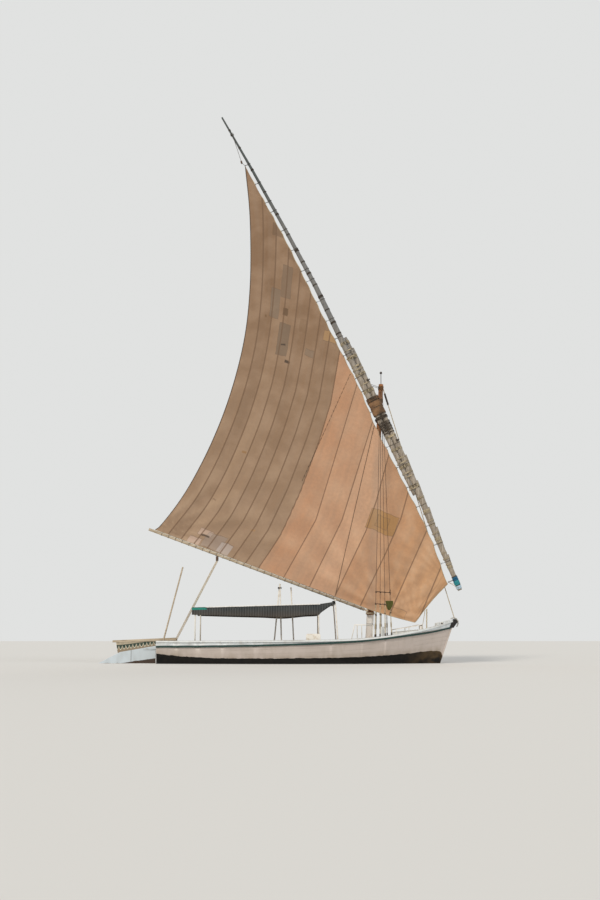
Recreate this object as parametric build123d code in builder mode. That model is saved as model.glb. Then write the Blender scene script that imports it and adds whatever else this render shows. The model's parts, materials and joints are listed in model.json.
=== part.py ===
from build123d import *

import math
import os

# A Nile felucca, whole and afloat. Millimetres and degrees.
# The origin is on the waterline, on the centreplane, midway between transom and stemhead.
# +X is towards the bow, +Y to port, +Z up.

os.makedirs("parts", exist_ok=True)
SIDES = (("port", 1), ("starboard", -1))

# Hull. One row a station: x at the waterline, forward lean, half-breadth at the sheer and
# at the waterline, keel height, sheer height, rub rail height.
STATION = ("x", "lean", "b_sheer", "b_water", "z_keel", "z_sheer", "z_rub")
STATIONS = (
    (-5000, 0.0, 1050, 850, -150, 720, 562),
    (-3000, 0.0, 1350, 1200, -380, 722, 578),
    (-500, 0.0, 1500, 1380, -450, 738, 632),
    (1800, 3.0, 1320, 1100, -450, 800, 745),
    (3150, 10.0, 880, 610, -430, 985, 915),
    (3950, 16.0, 430, 260, -400, 1195, 1050),
    (4470, 20.2, 45, 35, -350, 1405, 1190),
)
TABLE = [dict(zip(STATION, row)) for row in STATIONS]
HALF_BEAM = max(row["b_sheer"] for row in TABLE)
STERN_X = TABLE[0]["x"]
STEM_X = TABLE[-1]["x"]
STEM_LEAN = math.tan(math.radians(TABLE[-1]["lean"]))
# Where the hull is cut into sections, between stern and stem.
CUTS = (-4300, -3600, -2800, -1700, -500, 800, 1800, 2550, 3150, 3600, 3950, 4250)
HULL_T = 40
STRAKES = 5
KEEL_HALF = 45
INNER_END = 90
CAP_T = 35
CAP_IN = 75
CAP_OUT = 28
CAP_LIP = 20
RUB_H = 62
RUB_OUT = 30
RUB_IN = 20

# Backbone
KEEL_Z = -540
KEEL_T = 80
STEM_T = 85
STEM_TOP_T = 51
FOREFOOT = 60
STEM_W = 92
STEM_HEAD_Z = 1500
POST_T = 40
POST_HEAD_Z = 520

# Decks, benches and bulkheads
BOARD = 30
SOLE_Z = 60
SOLE_TOP = SOLE_Z + BOARD
BENCH_Z = 430
BENCH_IN = 640
BENCH_FRONT_T = 25
BENCH_X = (-3400, 1560)
BULK_T = 28
FORE_BULK_X = 2420
AFT_BULK_X = -3620
AFT_DECK_Z = 560
FORE_DECK_Z = 760
FORE_DECK_RISE = 11.0
FORE_DECK_LONG = 2600
THWART_X = (1960, 2330)
THWART_Z = 640
THWART_T = 75
STEP_X = (1900, 2240)
STEP_HALF = 200
STEP_TOP = -240

# Mast axis and its two radii
MAST_FOOT = (2068, 0, -300)
MAST_TOP = (2620, 0, 9640)
MAST_R = (130, 80)
ROD_TOP_Z = 10050
ROD_R = 11
BALL_R = 42
BALL_SIDES = 12
BALL_CUT = 18
ROD_IN = 60
MAST_SIDES = 24

# Yard: the chord's ends in the side view, and the forward bow of its middle.
YARD_Y = -270
YARD_HEEL = (5220, 2455)
YARD_TIP = (-3030, 19380)
YARD_BOW = 290
SPAR_GAP = 1.5
SPAR_SIDES = 16
SPAR_SLIM = 60
# Each spar by share of the yard's length from the heel, and its radius there.
LOWER_SPAR = ((0.0, 72), (0.08, 98), (0.16, 112), (0.26, 104), (0.36, 92), (0.46, 72), (0.51, 52))
UPPER_SPAR = (
    (0.19, 52), (0.25, 82), (0.36, 100), (0.48, 104), (0.6, 88), (0.75, 64), (0.88, 48), (1.0, 30)
)
# The two spars lie side by side from JOIN_LOW to JOIN_HIGH and run to the centreline outside it.
JOIN_LOW = (0.08, 0.2)
JOIN_HIGH = (0.5, 0.62)
STOPS = sorted({row[0] for row in LOWER_SPAR + UPPER_SPAR} | set(JOIN_LOW + JOIN_HIGH))
# Rope lashings: share of the length, width along the yard.
LASHINGS = (
    (0.045, 90), (0.1, 110), (0.155, 90), (0.205, 130), (0.245, 110), (0.28, 90), (0.4, 120),
    (0.435, 90), (0.47, 130), (0.5, 110), (0.545, 70), (0.6, 90), (0.65, 60), (0.7, 90),
)
LASH_T = 9
CORNER = 0.29
STROP_AT = 0.345
STROP_T = 34
STROP_W = 95
SEAT_BITE = 4

# Stays
STAY_R = 11
FORESTAY_R = 20
FORESTAY_Z = 9540
FORESTAY_IN = (29, 25)
STAY_HEAD_Z = 9360
STAY_STEP = 28
STAY_RISE = 40
STAY_HEAD_IN = 15
STAY_FEET_X = (2260, 2430, 2610, 2820)
STAY_OVER = (170, 9070)
STAY_FOOT_IN = 20

# Boom: fore pivot and aft end of its axis
BOOM_FORE = (2050, YARD_Y, 1768)
BOOM_AFT = (-5390, YARD_Y, 4527)
BOOM_R = 46
BOOM_NECK_R = 26
BOOM_EYE_R = 40
BOOM_EYE_H = 70
BOOM_START = 90
BOOM_PIN_R = 14
PIN_CLEAR = 0.06
BOOM_RING_DROP = 90
BOOM_RING_T = 26
BOOM_RING_H = 70
BOOM_ARM = (60, 44)
BOOM_PIN_ABOVE = 160

# Sail: corners and edges in the side view, all above the boom's line
SAIL_T = 6
PEAK = (-2180, 17550)
TACK = (4830, 2720)
CLEW = (-5180, 4510)
HEAD_EDGE = (
    TACK, (4200, 4400), (3350, 6180), (2450, 8020), (1830, 9530), (700, 11830), (-700, 14760), PEAK
)
LEECH = (CLEW, (-4000, 6120), (-2940, 8410), (-2250, 10850), (-1990, 13080), (-2000, 15600), PEAK)
FOOT_LOW = (3660, 1370)
FOOT_OVER_EYE = ((1800, 1861), (1900, 1930), (2200, 1905))
SEAM = ((1200, 10790), (-260, 5000), (-1500, 3140))
# The cloth's belly to port is cut from flat panels that rise from an edge: its two points, the
# depth there and the rise per millimetre inwards. The shallowest panel holds at each place.
PANELS = (
    (TACK, PEAK, 4, 0.085),
    (TACK, PEAK, 70, 0.04),
    (BOOM_FORE[::2], BOOM_AFT[::2], 0, 0.075),
    (BOOM_FORE[::2], BOOM_AFT[::2], 60, 0.035),
    (CLEW, PEAK, 60, 0.05),
    (CLEW, PEAK, 215, 0.002),
)
SAIL_REACH = 600
SAIL_MIDDLE = (0, 8000)

# Mainsheet and its blocks
SHEET_SHARE = 0.685
SHEET_FOOT = (-4560, 570)
SHEET_R = 20
BLOCK_SIZE = (90, 62, 150)
BLOCK_DROP = 205
BLOCK_ROUND = 20
EYE_SIZE = (90, 70, 70)
SOFT_GAP = 0.5
DECK_CUT = (-6000, -3000)

# Stern pole
POLE_LOW = (-4850, -620)
POLE_TOP = (-4180, -620, 3220)
POLE_R = 26

# Rudder
RUDDER_T = 70
PINTLE_R = 16
PINTLE_L = 92
HINGE_BACK = 38
BLADE_BACK = 46
BLADE_TOP_Z = 586
BLADE_SHOULDER = (-6330, 377)
BLADE_WATER = (-7060, 0)
BLADE_LOW = ((-7040, -330), (-6500, -500))
BLADE_HEEL_Z = -470
FRIEZE_T = 44
FRIEZE = ((-6480, 760), (-6400, 300))
FRIEZE_FORE_Z = (560, 800)
TILLER_AFT = (-6590, 0, 735)
TILLER_FORE = (-4420, 0, 805)
TILLER_AFT_SIZE = (75, 70)
TILLER_FORE_SIZE = (95, 115)
STRAP_Z = (470, -70)
STRAP_H = 56
STRAP_LONG = 420
STRAP_T = 10
NOSE_R = 28
LUG_R = 30
LUG_H = 50
LUG_GAP = 8

# Awning
AWN_X = (-3810, 445)
AWN_Z = (1858, 1974)
AWN_T = 24
AWN_IN = 320
AWN_HALF = HALF_BEAM - AWN_IN
VALANCE_T = 28
VALANCE_IN = 20
SWAG = (
    (-3810, 1700), (-3000, 1590), (-2260, 1530), (-1500, 1485), (-800, 1472), (-100, 1530),
    (300, 1640), (445, 1700),
)
TUBE_R = 22
POST_X = (-3700, 400)
LEAN_POST = (1060, 950)
POST_IN = 62
BUNDLE_X = 900
BUNDLE_Z = 2012
BUNDLE_R = 60
POLE_CLEAR = 12
# Poles from the floor through the awning: foot x and y, top point.
CRUTCH = (((-830, -330), (-905, -60, 2660)), ((-1160, 200), (-915, -8, 2640)))
CENTRE_POLE = ((-400, 120), (-530, 120, 2540))
POLE_TUBE_R = 24

# Fittings along the rail and on the fore deck
SIDE_RAIL_X = (1480, 1585, 2190)
SIDE_RAIL_POSTS = (1670, 1820, 2180)
SIDE_RAIL_Z = 1275
RAIL_R = 15
BOW_RAIL_X = (2980, 3420, 3900)
BOW_RAIL_UP = 165
BOW_RAIL_R = 13
BOX_X = (2450, 2650)
BOX_Y = (-880, -620)
BOX_H = 460
SEAT_BACK_X = (-20, 460)
SEAT_BACK_IN = 230
SEAT_BACK_Y = SEAT_BACK_IN - HALF_BEAM
SEAT_BACK_TOP = 985
SEAT_BACK_T = 22
MOORING_X = 3900
MOORING_R = 45
MOORING_UP = 240
GUARD_Z = (1190, 1480)
GUARD_T = 55
GUARD_W = 150


def slope_at(i, key):
    """Slope of a station column at station i, from its neighbours."""
    low = TABLE[max(i - 1, 0)]
    high = TABLE[min(i + 1, len(TABLE) - 1)]
    return (high[key] - low[key]) / (high["x"] - low["x"])


def row_at(x):
    """The station row at any x, on a smooth curve through the table."""
    i = max(k for k in range(len(TABLE) - 1) if k == 0 or TABLE[k]["x"] <= x)
    a, b = TABLE[i], TABLE[i + 1]
    span = b["x"] - a["x"]
    t = (x - a["x"]) / span
    row = {"x": x}
    for key in STATION[1:]:
        m0 = slope_at(i, key) * span
        m1 = slope_at(i + 1, key) * span
        row[key] = (
            (2 * t**3 - 3 * t**2 + 1) * a[key]
            + (t**3 - 2 * t**2 + t) * m0
            + (3 * t**2 - 2 * t**3) * b[key]
            + (t**3 - t**2) * m1
        )
    return row


OUTER_ROWS = [row_at(x) for x in (STERN_X,) + CUTS + (STEM_X,)]
INNER_ROWS = [row_at(x) for x in (STERN_X + HULL_T,) + CUTS + (STEM_X - INNER_END,)]


def section_plane(row):
    """The plane of a station, leaning forward towards the stem."""
    lean = math.radians(row["lean"])
    facing = (math.cos(lean), 0, -math.sin(lean))
    return Plane(origin=(row["x"], 0, 0), x_dir=(0, 1, 0), z_dir=facing)


def up(row, z):
    """A height z measured along the leaning section plane."""
    return z / math.cos(math.radians(row["lean"]))


def breadth(row, z):
    """Half-breadth of the topside at height z, straight from the water to the sheer."""
    return row["b_water"] + (row["b_sheer"] - row["b_water"]) * z / row["z_sheer"]


def hull_section(row, inset, above):
    """Closed section: straight strakes from the keel round the bilge, then the topside, both sides."""
    z_top = row["z_sheer"] + above
    water = max(breadth(row, 0) - inset, 6)
    keel = min(KEEL_HALF, water * 0.5)
    depth = up(row, row["z_keel"] + inset)
    points = [(max(breadth(row, z_top) - inset, 8), up(row, z_top))]
    for step in range(STRAKES + 1):
        turn = math.radians(90 * (1 - step / STRAKES))
        points.append((keel + (water - keel) * math.sin(turn), depth * math.cos(turn)))
    points += [(-y, z) for y, z in reversed(points)]
    with BuildSketch(section_plane(row)) as section:
        with BuildLine():
            Polyline(*points, close=True)
        make_face()
    return section.sketch


def strip_section(row, side, b_in, b_out, z_low, z_high):
    """A four-sided strip along the topside."""
    with BuildSketch(section_plane(row)) as section:
        with BuildLine():
            Polyline(
                (side * b_in, up(row, z_low)),
                (side * b_out, up(row, z_low)),
                (side * b_out, up(row, z_high)),
                (side * b_in, up(row, z_high)),
                close=True,
            )
        make_face()
    return section.sketch


def side_outline(points, y_mid):
    """An outline drawn in the side view, at y_mid."""
    with BuildSketch(Plane.XZ.offset(-y_mid)) as outline:
        Polygon(*points, align=None)
    return outline.sketch


def slab(x, y, z, mode=Mode.ADD):
    """A box between three pairs of limits, in the block that calls it."""
    with Locations((sum(x) / 2, sum(y) / 2, sum(z) / 2)):
        Box(x[1] - x[0], y[1] - y[0], z[1] - z[0], mode=mode)


def spar(start, end, r_start, r_end=None, mode=Mode.ADD):
    """A round bar or a cone between two points, in the block that calls it."""
    a, b = Vector(*start), Vector(*end)
    with Locations(Plane(origin=(a + b) * 0.5, z_dir=b - a).location):
        if r_end is None or r_end == r_start:
            Cylinder(r_start, (b - a).length, mode=mode)
        else:
            Cone(r_start, r_end, (b - a).length, mode=mode)


def along(start, end, share):
    """The point a share of the way from start to end."""
    return tuple(s + (e - s) * share for s, e in zip(start, end))


def mast_at(z):
    """The mast's x and radius at height z."""
    share = (z - MAST_FOOT[2]) / (MAST_TOP[2] - MAST_FOOT[2])
    return along(MAST_FOOT, MAST_TOP, share)[0], MAST_R[0] + (MAST_R[1] - MAST_R[0]) * share


def fore_deck_at(x):
    """Height of the fore deck's top at x."""
    return FORE_DECK_Z + math.tan(math.radians(FORE_DECK_RISE)) * (x - FORE_BULK_X)


def rail_at(x):
    """Half-breadth and height of the gunwale cap's top at x."""
    low = OUTER_ROWS[0]
    for row in OUTER_ROWS[1:]:
        x0 = low["x"] + low["z_sheer"] * math.tan(math.radians(low["lean"]))
        x1 = row["x"] + row["z_sheer"] * math.tan(math.radians(row["lean"]))
        if x <= x1 or row is OUTER_ROWS[-1]:
            share = min((x - x0) / (x1 - x0), 1)
            b = low["b_sheer"] + share * (row["b_sheer"] - low["b_sheer"])
            z = low["z_sheer"] + share * (row["z_sheer"] - low["z_sheer"])
            return b, z + CAP_T
        low = row


def write(name, piece):
    piece.part.label = name
    export_step(piece.part, "parts/" + name + ".step")


# Hull shell: the outer volume less the inner one, which also cuts every deck piece
with BuildPart() as outer:
    loft([hull_section(row, 0, 0) for row in OUTER_ROWS], ruled=True)

with BuildPart() as inner:
    loft([hull_section(row, HULL_T, 2 * CAP_T) for row in INNER_ROWS], ruled=True)

with BuildPart() as hull_shell:
    add(outer.part)
    add(inner.part, mode=Mode.SUBTRACT)
write("hull_shell", hull_shell)


# Gunwale caps and rub rails run the whole length of each side
def gunwale_cap(side):
    with BuildPart() as cap:
        loft(
            [
                strip_section(
                    row,
                    side,
                    max(row["b_sheer"] - CAP_IN, 3),
                    row["b_sheer"] + CAP_OUT,
                    row["z_sheer"] - CAP_LIP,
                    row["z_sheer"] + CAP_T,
                )
                for row in OUTER_ROWS
            ]
        )
        add(hull_shell.part, mode=Mode.SUBTRACT)
    return cap


def rub_rail(side):
    with BuildPart() as rail:
        loft(
            [
                strip_section(
                    row,
                    side,
                    breadth(row, row["z_rub"]) - RUB_IN,
                    breadth(row, row["z_rub"]) + RUB_OUT,
                    row["z_rub"] - RUB_H / 2,
                    row["z_rub"] + RUB_H / 2,
                )
                for row in OUTER_ROWS
            ]
        )
        add(outer.part, mode=Mode.SUBTRACT)
    return rail


caps = {word: gunwale_cap(side) for word, side in SIDES}
rubs = {word: rub_rail(side) for word, side in SIDES}
for word, side in SIDES:
    write("gunwale_cap_" + word, caps[word])
    write("rub_rail_" + word, rubs[word])


# Backbone: keel and deadwood below the hull, stem in front and stern post behind
def stem_line(z):
    """The point of the hull's front face at height z."""
    return (STEM_X + z * STEM_LEAN, z)


with BuildPart() as keel:
    top_z = TABLE[0]["z_keel"] + HULL_T
    outline = [(STERN_X, top_z), (STERN_X, KEEL_Z), stem_line(KEEL_Z), stem_line(top_z)]
    extrude(side_outline(outline, 0), amount=KEEL_T / 2, both=True)
    add(outer.part, mode=Mode.SUBTRACT)
write("keel", keel)

with BuildPart() as stem_post:
    low, high = stem_line(KEEL_Z), stem_line(STEM_HEAD_Z)
    outline = [low, (low[0] + STEM_T, KEEL_Z + FOREFOOT), (high[0] + STEM_TOP_T, high[1]), high]
    extrude(side_outline(outline, 0), amount=STEM_W / 2, both=True)
write("stem_post", stem_post)

stern_face = STERN_X - POST_T
with BuildPart() as stern_post:
    slab((stern_face, STERN_X), (-KEEL_T / 2, KEEL_T / 2), (KEEL_Z, POST_HEAD_Z))
write("stern_post", stern_post)

# Mast, with the rod and ball at its head
with BuildPart() as mast:
    way = Vector(*MAST_TOP) - Vector(*MAST_FOOT)
    for point, radius in zip((MAST_FOOT, MAST_TOP), MAST_R):
        with BuildSketch(Plane(origin=point, x_dir=(0, 1, 0), z_dir=way)):
            RegularPolygon(radius, MAST_SIDES)
    loft(ruled=True)
write("mast", mast)

with BuildPart() as mast_rod:
    spar((MAST_TOP[0], 0, MAST_TOP[2] - ROD_IN), (MAST_TOP[0], 0, ROD_TOP_Z), ROD_R)
    with BuildSketch(Plane(origin=(MAST_TOP[0], 0, ROD_TOP_Z - BALL_R))):
        RegularPolygon(BALL_R, BALL_SIDES)
    ball = extrude(amount=2 * BALL_R)
    ends = ball.faces().filter_by(Axis.Z)
    chamfer(ends.edges(), BALL_CUT)
    add(mast.part, mode=Mode.SUBTRACT)
write("mast_rod", mast_rod)

# Decks and bulkheads, each cut to the hull's inside
BEYOND = HALF_BEAM + CAP_OUT
ACROSS = (-BEYOND, BEYOND)
with BuildPart() as floor_boards:
    slab((AFT_BULK_X, FORE_BULK_X), ACROSS, (SOLE_Z, SOLE_TOP))
    add(inner.part, mode=Mode.INTERSECT)
    add(mast.part, mode=Mode.SUBTRACT)
write("floor_boards", floor_boards)

with BuildPart() as aft_deck:
    slab((STERN_X, AFT_BULK_X), ACROSS, (AFT_DECK_Z - BOARD, AFT_DECK_Z))
    add(inner.part, mode=Mode.INTERSECT)
write("aft_deck", aft_deck)

deck_plane = Plane(origin=(FORE_BULK_X, 0, FORE_DECK_Z)).rotated((0, -FORE_DECK_RISE, 0))
with BuildPart() as fore_deck:
    with BuildSketch(deck_plane):
        with Locations((FORE_DECK_LONG / 2, 0)):
            Rectangle(FORE_DECK_LONG, 2 * BEYOND)
    extrude(amount=-BOARD)
    add(inner.part, mode=Mode.INTERSECT)
write("fore_deck", fore_deck)


def bulkhead(x, top):
    with BuildPart() as board:
        slab(x, ACROSS, (KEEL_Z, top))
        add(inner.part, mode=Mode.INTERSECT)
    return board


write("aft_bulkhead", bulkhead((AFT_BULK_X - BULK_T, AFT_BULK_X), AFT_DECK_Z - BOARD))
write("fore_bulkhead", bulkhead((FORE_BULK_X, FORE_BULK_X + BULK_T), FORE_DECK_Z - BOARD - 2))


# Benches along each side of the cockpit
def side_bench(side):
    with BuildPart() as seat:
        slab(BENCH_X, sorted((side * BENCH_IN, side * BEYOND)), (BENCH_Z - BOARD, BENCH_Z))
        add(inner.part, mode=Mode.INTERSECT)
    return seat


benches = {word: side_bench(side) for word, side in SIDES}
for word, side in SIDES:
    write("side_bench_" + word, benches[word])

with BuildPart() as bench_fronts:
    for word, side in SIDES:
        y = sorted((side * BENCH_IN, side * (BENCH_IN + BENCH_FRONT_T)))
        slab(BENCH_X, y, (SOLE_TOP, BENCH_Z - BOARD))
write("bench_fronts", bench_fronts)

with BuildPart() as mast_thwart:
    slab(THWART_X, ACROSS, (THWART_Z, THWART_Z + THWART_T))
    add(inner.part, mode=Mode.INTERSECT)
    add(mast.part, mode=Mode.SUBTRACT)
write("mast_thwart", mast_thwart)

with BuildPart() as mast_step:
    slab(STEP_X, (-STEP_HALF, STEP_HALF), (KEEL_Z, STEP_TOP))
    add(inner.part, mode=Mode.INTERSECT)
    add(mast.part, mode=Mode.SUBTRACT)
write("mast_step", mast_step)

# Yard: two tapered spars that overlap side by side, tied by rope lashings
yard_chord = Vector(YARD_TIP[0] - YARD_HEEL[0], 0, YARD_TIP[1] - YARD_HEEL[1])
yard_out = Vector(yard_chord.Z, 0, -yard_chord.X).normalized()


def yard_at(share, off=0):
    """A point on the yard's bowed line, or off it towards the fore side."""
    bow = 4 * YARD_BOW * share * (1 - share)
    return Vector(YARD_HEEL[0], YARD_Y, YARD_HEEL[1]) + yard_chord * share + yard_out * (bow + off)


def yard_plane(share, off=0):
    """A plane across the yard: local x is +Y, local y is towards the aft side."""
    way = yard_at(share + 0.01) - yard_at(share - 0.01)
    return Plane(origin=yard_at(share, off), x_dir=(0, 1, 0), z_dir=way)


def radius_at(spar_table, share):
    """A spar's radius at a share of the yard, and 0 past its ends."""
    if not spar_table[0][0] <= share <= spar_table[-1][0]:
        return 0
    for (s0, r0), (s1, r1) in zip(spar_table, spar_table[1:]):
        if share <= s1:
            return r0 + (r1 - r0) * (share - s0) / (s1 - s0)
    return spar_table[-1][1]


def ramp(share, limits):
    """0 below the first limit, 1 above the second, straight between."""
    return min(max((share - limits[0]) / (limits[1] - limits[0]), 0), 1)


def spar_off(share, lower):
    """How far a spar's centre stands off the yard's line."""
    if lower:
        return ramp(share, JOIN_LOW) * (max(radius_at(UPPER_SPAR, share), SPAR_SLIM) + SPAR_GAP)
    return -(1 - ramp(share, JOIN_HIGH)) * max(radius_at(LOWER_SPAR, share), SPAR_SLIM)


def yard_spar(spar_table, lower):
    """A hewn spar of flat faces, its sections drawn in planes across the yard."""
    sections = []
    for share in STOPS:
        if not radius_at(spar_table, share):
            continue
        with BuildSketch(yard_plane(share, spar_off(share, lower))) as cut:
            RegularPolygon(radius_at(spar_table, share), SPAR_SIDES)
        sections.append(cut.sketch)
    with BuildPart() as piece:
        loft(sections, ruled=True)
    return piece


yard_lower = yard_spar(LOWER_SPAR, True)
yard_upper = yard_spar(UPPER_SPAR, False)
write("yard_lower", yard_lower)
write("yard_upper", yard_upper)


def yard_limits(share):
    """How far the spars reach off the line on the aft and fore sides, and sideways."""
    reach = []
    for spar_table, lower in ((LOWER_SPAR, True), (UPPER_SPAR, False)):
        radius = radius_at(spar_table, share)
        if radius:
            off = spar_off(share, lower)
            reach.append((off - radius, off + radius, radius))
    return min(r[0] for r in reach), max(r[1] for r in reach), max(r[2] for r in reach)


def cut_corners(wide, high):
    """A rectangle with its corners cut off, close to a rope's bend round a spar."""
    corner = CORNER * min(wide, high)
    with BuildSketch() as ring:
        Rectangle(wide, high)
        chamfer(ring.vertices(), corner)
    return ring.sketch


with BuildPart() as yard_lashings:
    for share, width in LASHINGS:
        aft, fore, side = yard_limits(share)
        with BuildSketch(yard_plane(share, (aft + fore) / 2)):
            add(cut_corners(2 * (side + LASH_T), fore - aft + 2 * LASH_T))
            hole = cut_corners(2 * (side - SEAT_BITE), fore - aft - 2 * SEAT_BITE)
            add(hole, mode=Mode.SUBTRACT)
        extrude(amount=width / 2, both=True)
write("yard_lashings", yard_lashings)

# Strop: a rope ring that binds the yard to the mast
aft, fore, side = yard_limits(STROP_AT)
strop_centre = yard_at(STROP_AT)
strop_mast_r = mast_at(strop_centre.Z)[1]
loop_y = (YARD_Y - side - STROP_T, strop_mast_r + STROP_T)
loop_high = fore - aft + 2 * STROP_T
with BuildPart() as yard_strop:
    with BuildSketch(yard_plane(STROP_AT, (aft + fore) / 2)):
        with Locations((sum(loop_y) / 2 - YARD_Y, 0)):
            long = loop_y[1] - loop_y[0]
            hollow = 2 * (STROP_T + SEAT_BITE)
            add(cut_corners(long, loop_high))
            add(cut_corners(long - hollow, loop_high - hollow), mode=Mode.SUBTRACT)
    extrude(amount=STROP_W / 2, both=True)
write("yard_strop", yard_strop)

# Forestay from the masthead to the stem, and four stays to each rail
with BuildPart() as forestay:
    head_x, head_r = mast_at(FORESTAY_Z)
    foot_x, foot_z = stem_line(STEM_HEAD_Z - FORESTAY_IN[1])
    spar((head_x, 0, FORESTAY_Z), (foot_x + FORESTAY_IN[0], 0, foot_z), FORESTAY_R)
    add(mast.part, mode=Mode.SUBTRACT)
    add(stem_post.part, mode=Mode.SUBTRACT)
write("forestay", forestay)


def stay_ends(i, side):
    """Head on the mast and foot in the cap for stay i."""
    z_head = STAY_HEAD_Z + STAY_RISE * i
    head_x, head_r = mast_at(z_head)
    off = STAY_STEP * (i - 1.5)
    head = (head_x + off, side * (math.sqrt(head_r**2 - off**2) - STAY_HEAD_IN), z_head)
    b_rail, z_rail = rail_at(STAY_FEET_X[i])
    foot = (STAY_FEET_X[i], side * (b_rail - STAY_FOOT_IN), z_rail - 6)
    return head, foot


with BuildPart() as side_stays_port:
    for i in range(len(STAY_FEET_X)):
        head, foot = stay_ends(i, 1)
        spar(foot, head, STAY_R)
    add(mast.part, mode=Mode.SUBTRACT)
    add(caps["port"].part, mode=Mode.SUBTRACT)
write("side_stays_port", side_stays_port)

# On the starboard side each stay bends over the outside of the yard
with BuildPart() as side_stays_starboard:
    for i in range(len(STAY_FEET_X)):
        head, foot = stay_ends(i, -1)
        over = (head[0] - 10, YARD_Y - STAY_OVER[0], STAY_OVER[1] + STAY_RISE * i)
        spar(head, over, STAY_R)
        spar(over, foot, STAY_R)
    add(mast.part, mode=Mode.SUBTRACT)
    add(caps["starboard"].part, mode=Mode.SUBTRACT)
write("side_stays_starboard", side_stays_starboard)

# Boom, its eye and the ring and pin that carry it on the mast
boom_long = (Vector(*BOOM_AFT) - Vector(*BOOM_FORE)).length
with BuildPart() as boom:
    start = along(BOOM_FORE, BOOM_AFT, BOOM_START / boom_long)
    spar(start, BOOM_AFT, BOOM_R)
    spar(BOOM_FORE, along(BOOM_FORE, BOOM_AFT, 1.2 * BOOM_START / boom_long), BOOM_NECK_R)
    with Locations(BOOM_FORE):
        Cylinder(BOOM_EYE_R, BOOM_EYE_H)
        Cylinder(BOOM_PIN_R + PIN_CLEAR, 3 * BOOM_EYE_H, mode=Mode.SUBTRACT)
write("boom", boom)

ring_z = BOOM_FORE[2] - BOOM_RING_DROP
ring_x, ring_r = mast_at(ring_z)
with BuildPart() as boom_strop:
    with Locations((ring_x, 0, ring_z)):
        Cylinder(ring_r + BOOM_RING_T, BOOM_RING_H)
    arm_x = (BOOM_FORE[0] - BOOM_ARM[0] / 2, ring_x)
    arm_z = (ring_z - BOOM_ARM[1] / 2, ring_z + BOOM_ARM[1] / 2)
    slab(arm_x, (YARD_Y - BOOM_ARM[0] / 2, -ring_r / 2), arm_z)
    spar((BOOM_FORE[0], YARD_Y, ring_z), (BOOM_FORE[0], YARD_Y, ring_z + BOOM_PIN_ABOVE), BOOM_PIN_R)
    add(mast.part, mode=Mode.SUBTRACT)
write("boom_strop", boom_strop)

# Sail: thin cloth whose belly is cut from flat panels

def panel_plane(start, end, depth, rise):
    """The plane of a panel: depth at the edge from start to end, rising to port inwards."""
    edge = Vector(end[0] - start[0], 0, end[1] - start[1]).normalized()
    inwards = Vector(edge.Z, 0, -edge.X)
    middle = Vector(SAIL_MIDDLE[0] - start[0], 0, SAIL_MIDDLE[1] - start[1])
    if inwards.dot(middle) < 0:
        inwards = inwards * -1
    origin = (start[0], YARD_Y + depth, start[1])
    return Plane(origin=origin, x_dir=edge, z_dir=Vector(0, 1, 0) - inwards * rise)


sail_outline = [*HEAD_EDGE, *reversed(LEECH), *FOOT_OVER_EYE, FOOT_LOW]


def under_panels(lift):
    """The sail's outline as a deep block, up to its panels moved by lift."""
    with BuildPart() as block:
        extrude(side_outline(sail_outline, YARD_Y), amount=SAIL_REACH, both=True)
        for row in PANELS:
            split(bisect_by=panel_plane(*row).offset(lift), keep=Keep.BOTTOM)
    return block


with BuildPart() as sail_cloth:
    add(under_panels(SAIL_T / 2).part)
    add(under_panels(-SAIL_T / 2).part, mode=Mode.SUBTRACT)
    spar(BOOM_FORE, BOOM_AFT, BOOM_R, mode=Mode.SUBTRACT)

fore_x, over = YARD_HEEL[0], YARD_TIP[1]
fore_zone = [*SEAM, (SEAM[-1][0], 0), (fore_x, 0), (fore_x, over), (SEAM[0][0], over)]
with BuildPart() as sail_fore:
    add(sail_cloth.part)
    extrude(side_outline(fore_zone, YARD_Y), amount=SAIL_REACH, both=True, mode=Mode.INTERSECT)
write("sail_fore", sail_fore)

with BuildPart() as sail_aft:
    add(sail_cloth.part)
    extrude(side_outline(fore_zone, YARD_Y), amount=SAIL_REACH, both=True, mode=Mode.SUBTRACT)
write("sail_aft", sail_aft)

# Block under the boom, and the sheet down to its eye on the aft deck
sheet_top = along(BOOM_FORE, BOOM_AFT, SHEET_SHARE)
block_low = (sheet_top[0], sheet_top[1], sheet_top[2] - BLOCK_DROP)
with BuildPart() as boom_block:
    with BuildSketch(Plane(origin=block_low)):
        RectangleRounded(BLOCK_SIZE[0], BLOCK_SIZE[1], BLOCK_ROUND)
    extrude(amount=BLOCK_SIZE[2])
    spar(block_low, (sheet_top[0], sheet_top[1], sheet_top[2] - BOOM_R / 2), BLOCK_SIZE[1] / 4)
    add(boom.part, mode=Mode.SUBTRACT)
write("boom_block", boom_block)

with BuildPart() as sheet_eye:
    x, y = SHEET_FOOT
    slab((x - EYE_SIZE[0] / 2, x + EYE_SIZE[0] / 2), (y - EYE_SIZE[1] / 2, y + EYE_SIZE[1] / 2),
         (AFT_DECK_Z, AFT_DECK_Z + EYE_SIZE[2]))
write("sheet_eye", sheet_eye)

with BuildPart() as mainsheet:
    sheet_low = (SHEET_FOOT[0], SHEET_FOOT[1], AFT_DECK_Z + EYE_SIZE[2])
    spar(block_low, sheet_low, SHEET_R)
    add(boom_block.part, mode=Mode.SUBTRACT)
    eye_z = AFT_DECK_Z + EYE_SIZE[2] + SOFT_GAP
    slab(DECK_CUT, ACROSS, (KEEL_Z, eye_z), mode=Mode.SUBTRACT)
write("mainsheet", mainsheet)

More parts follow.
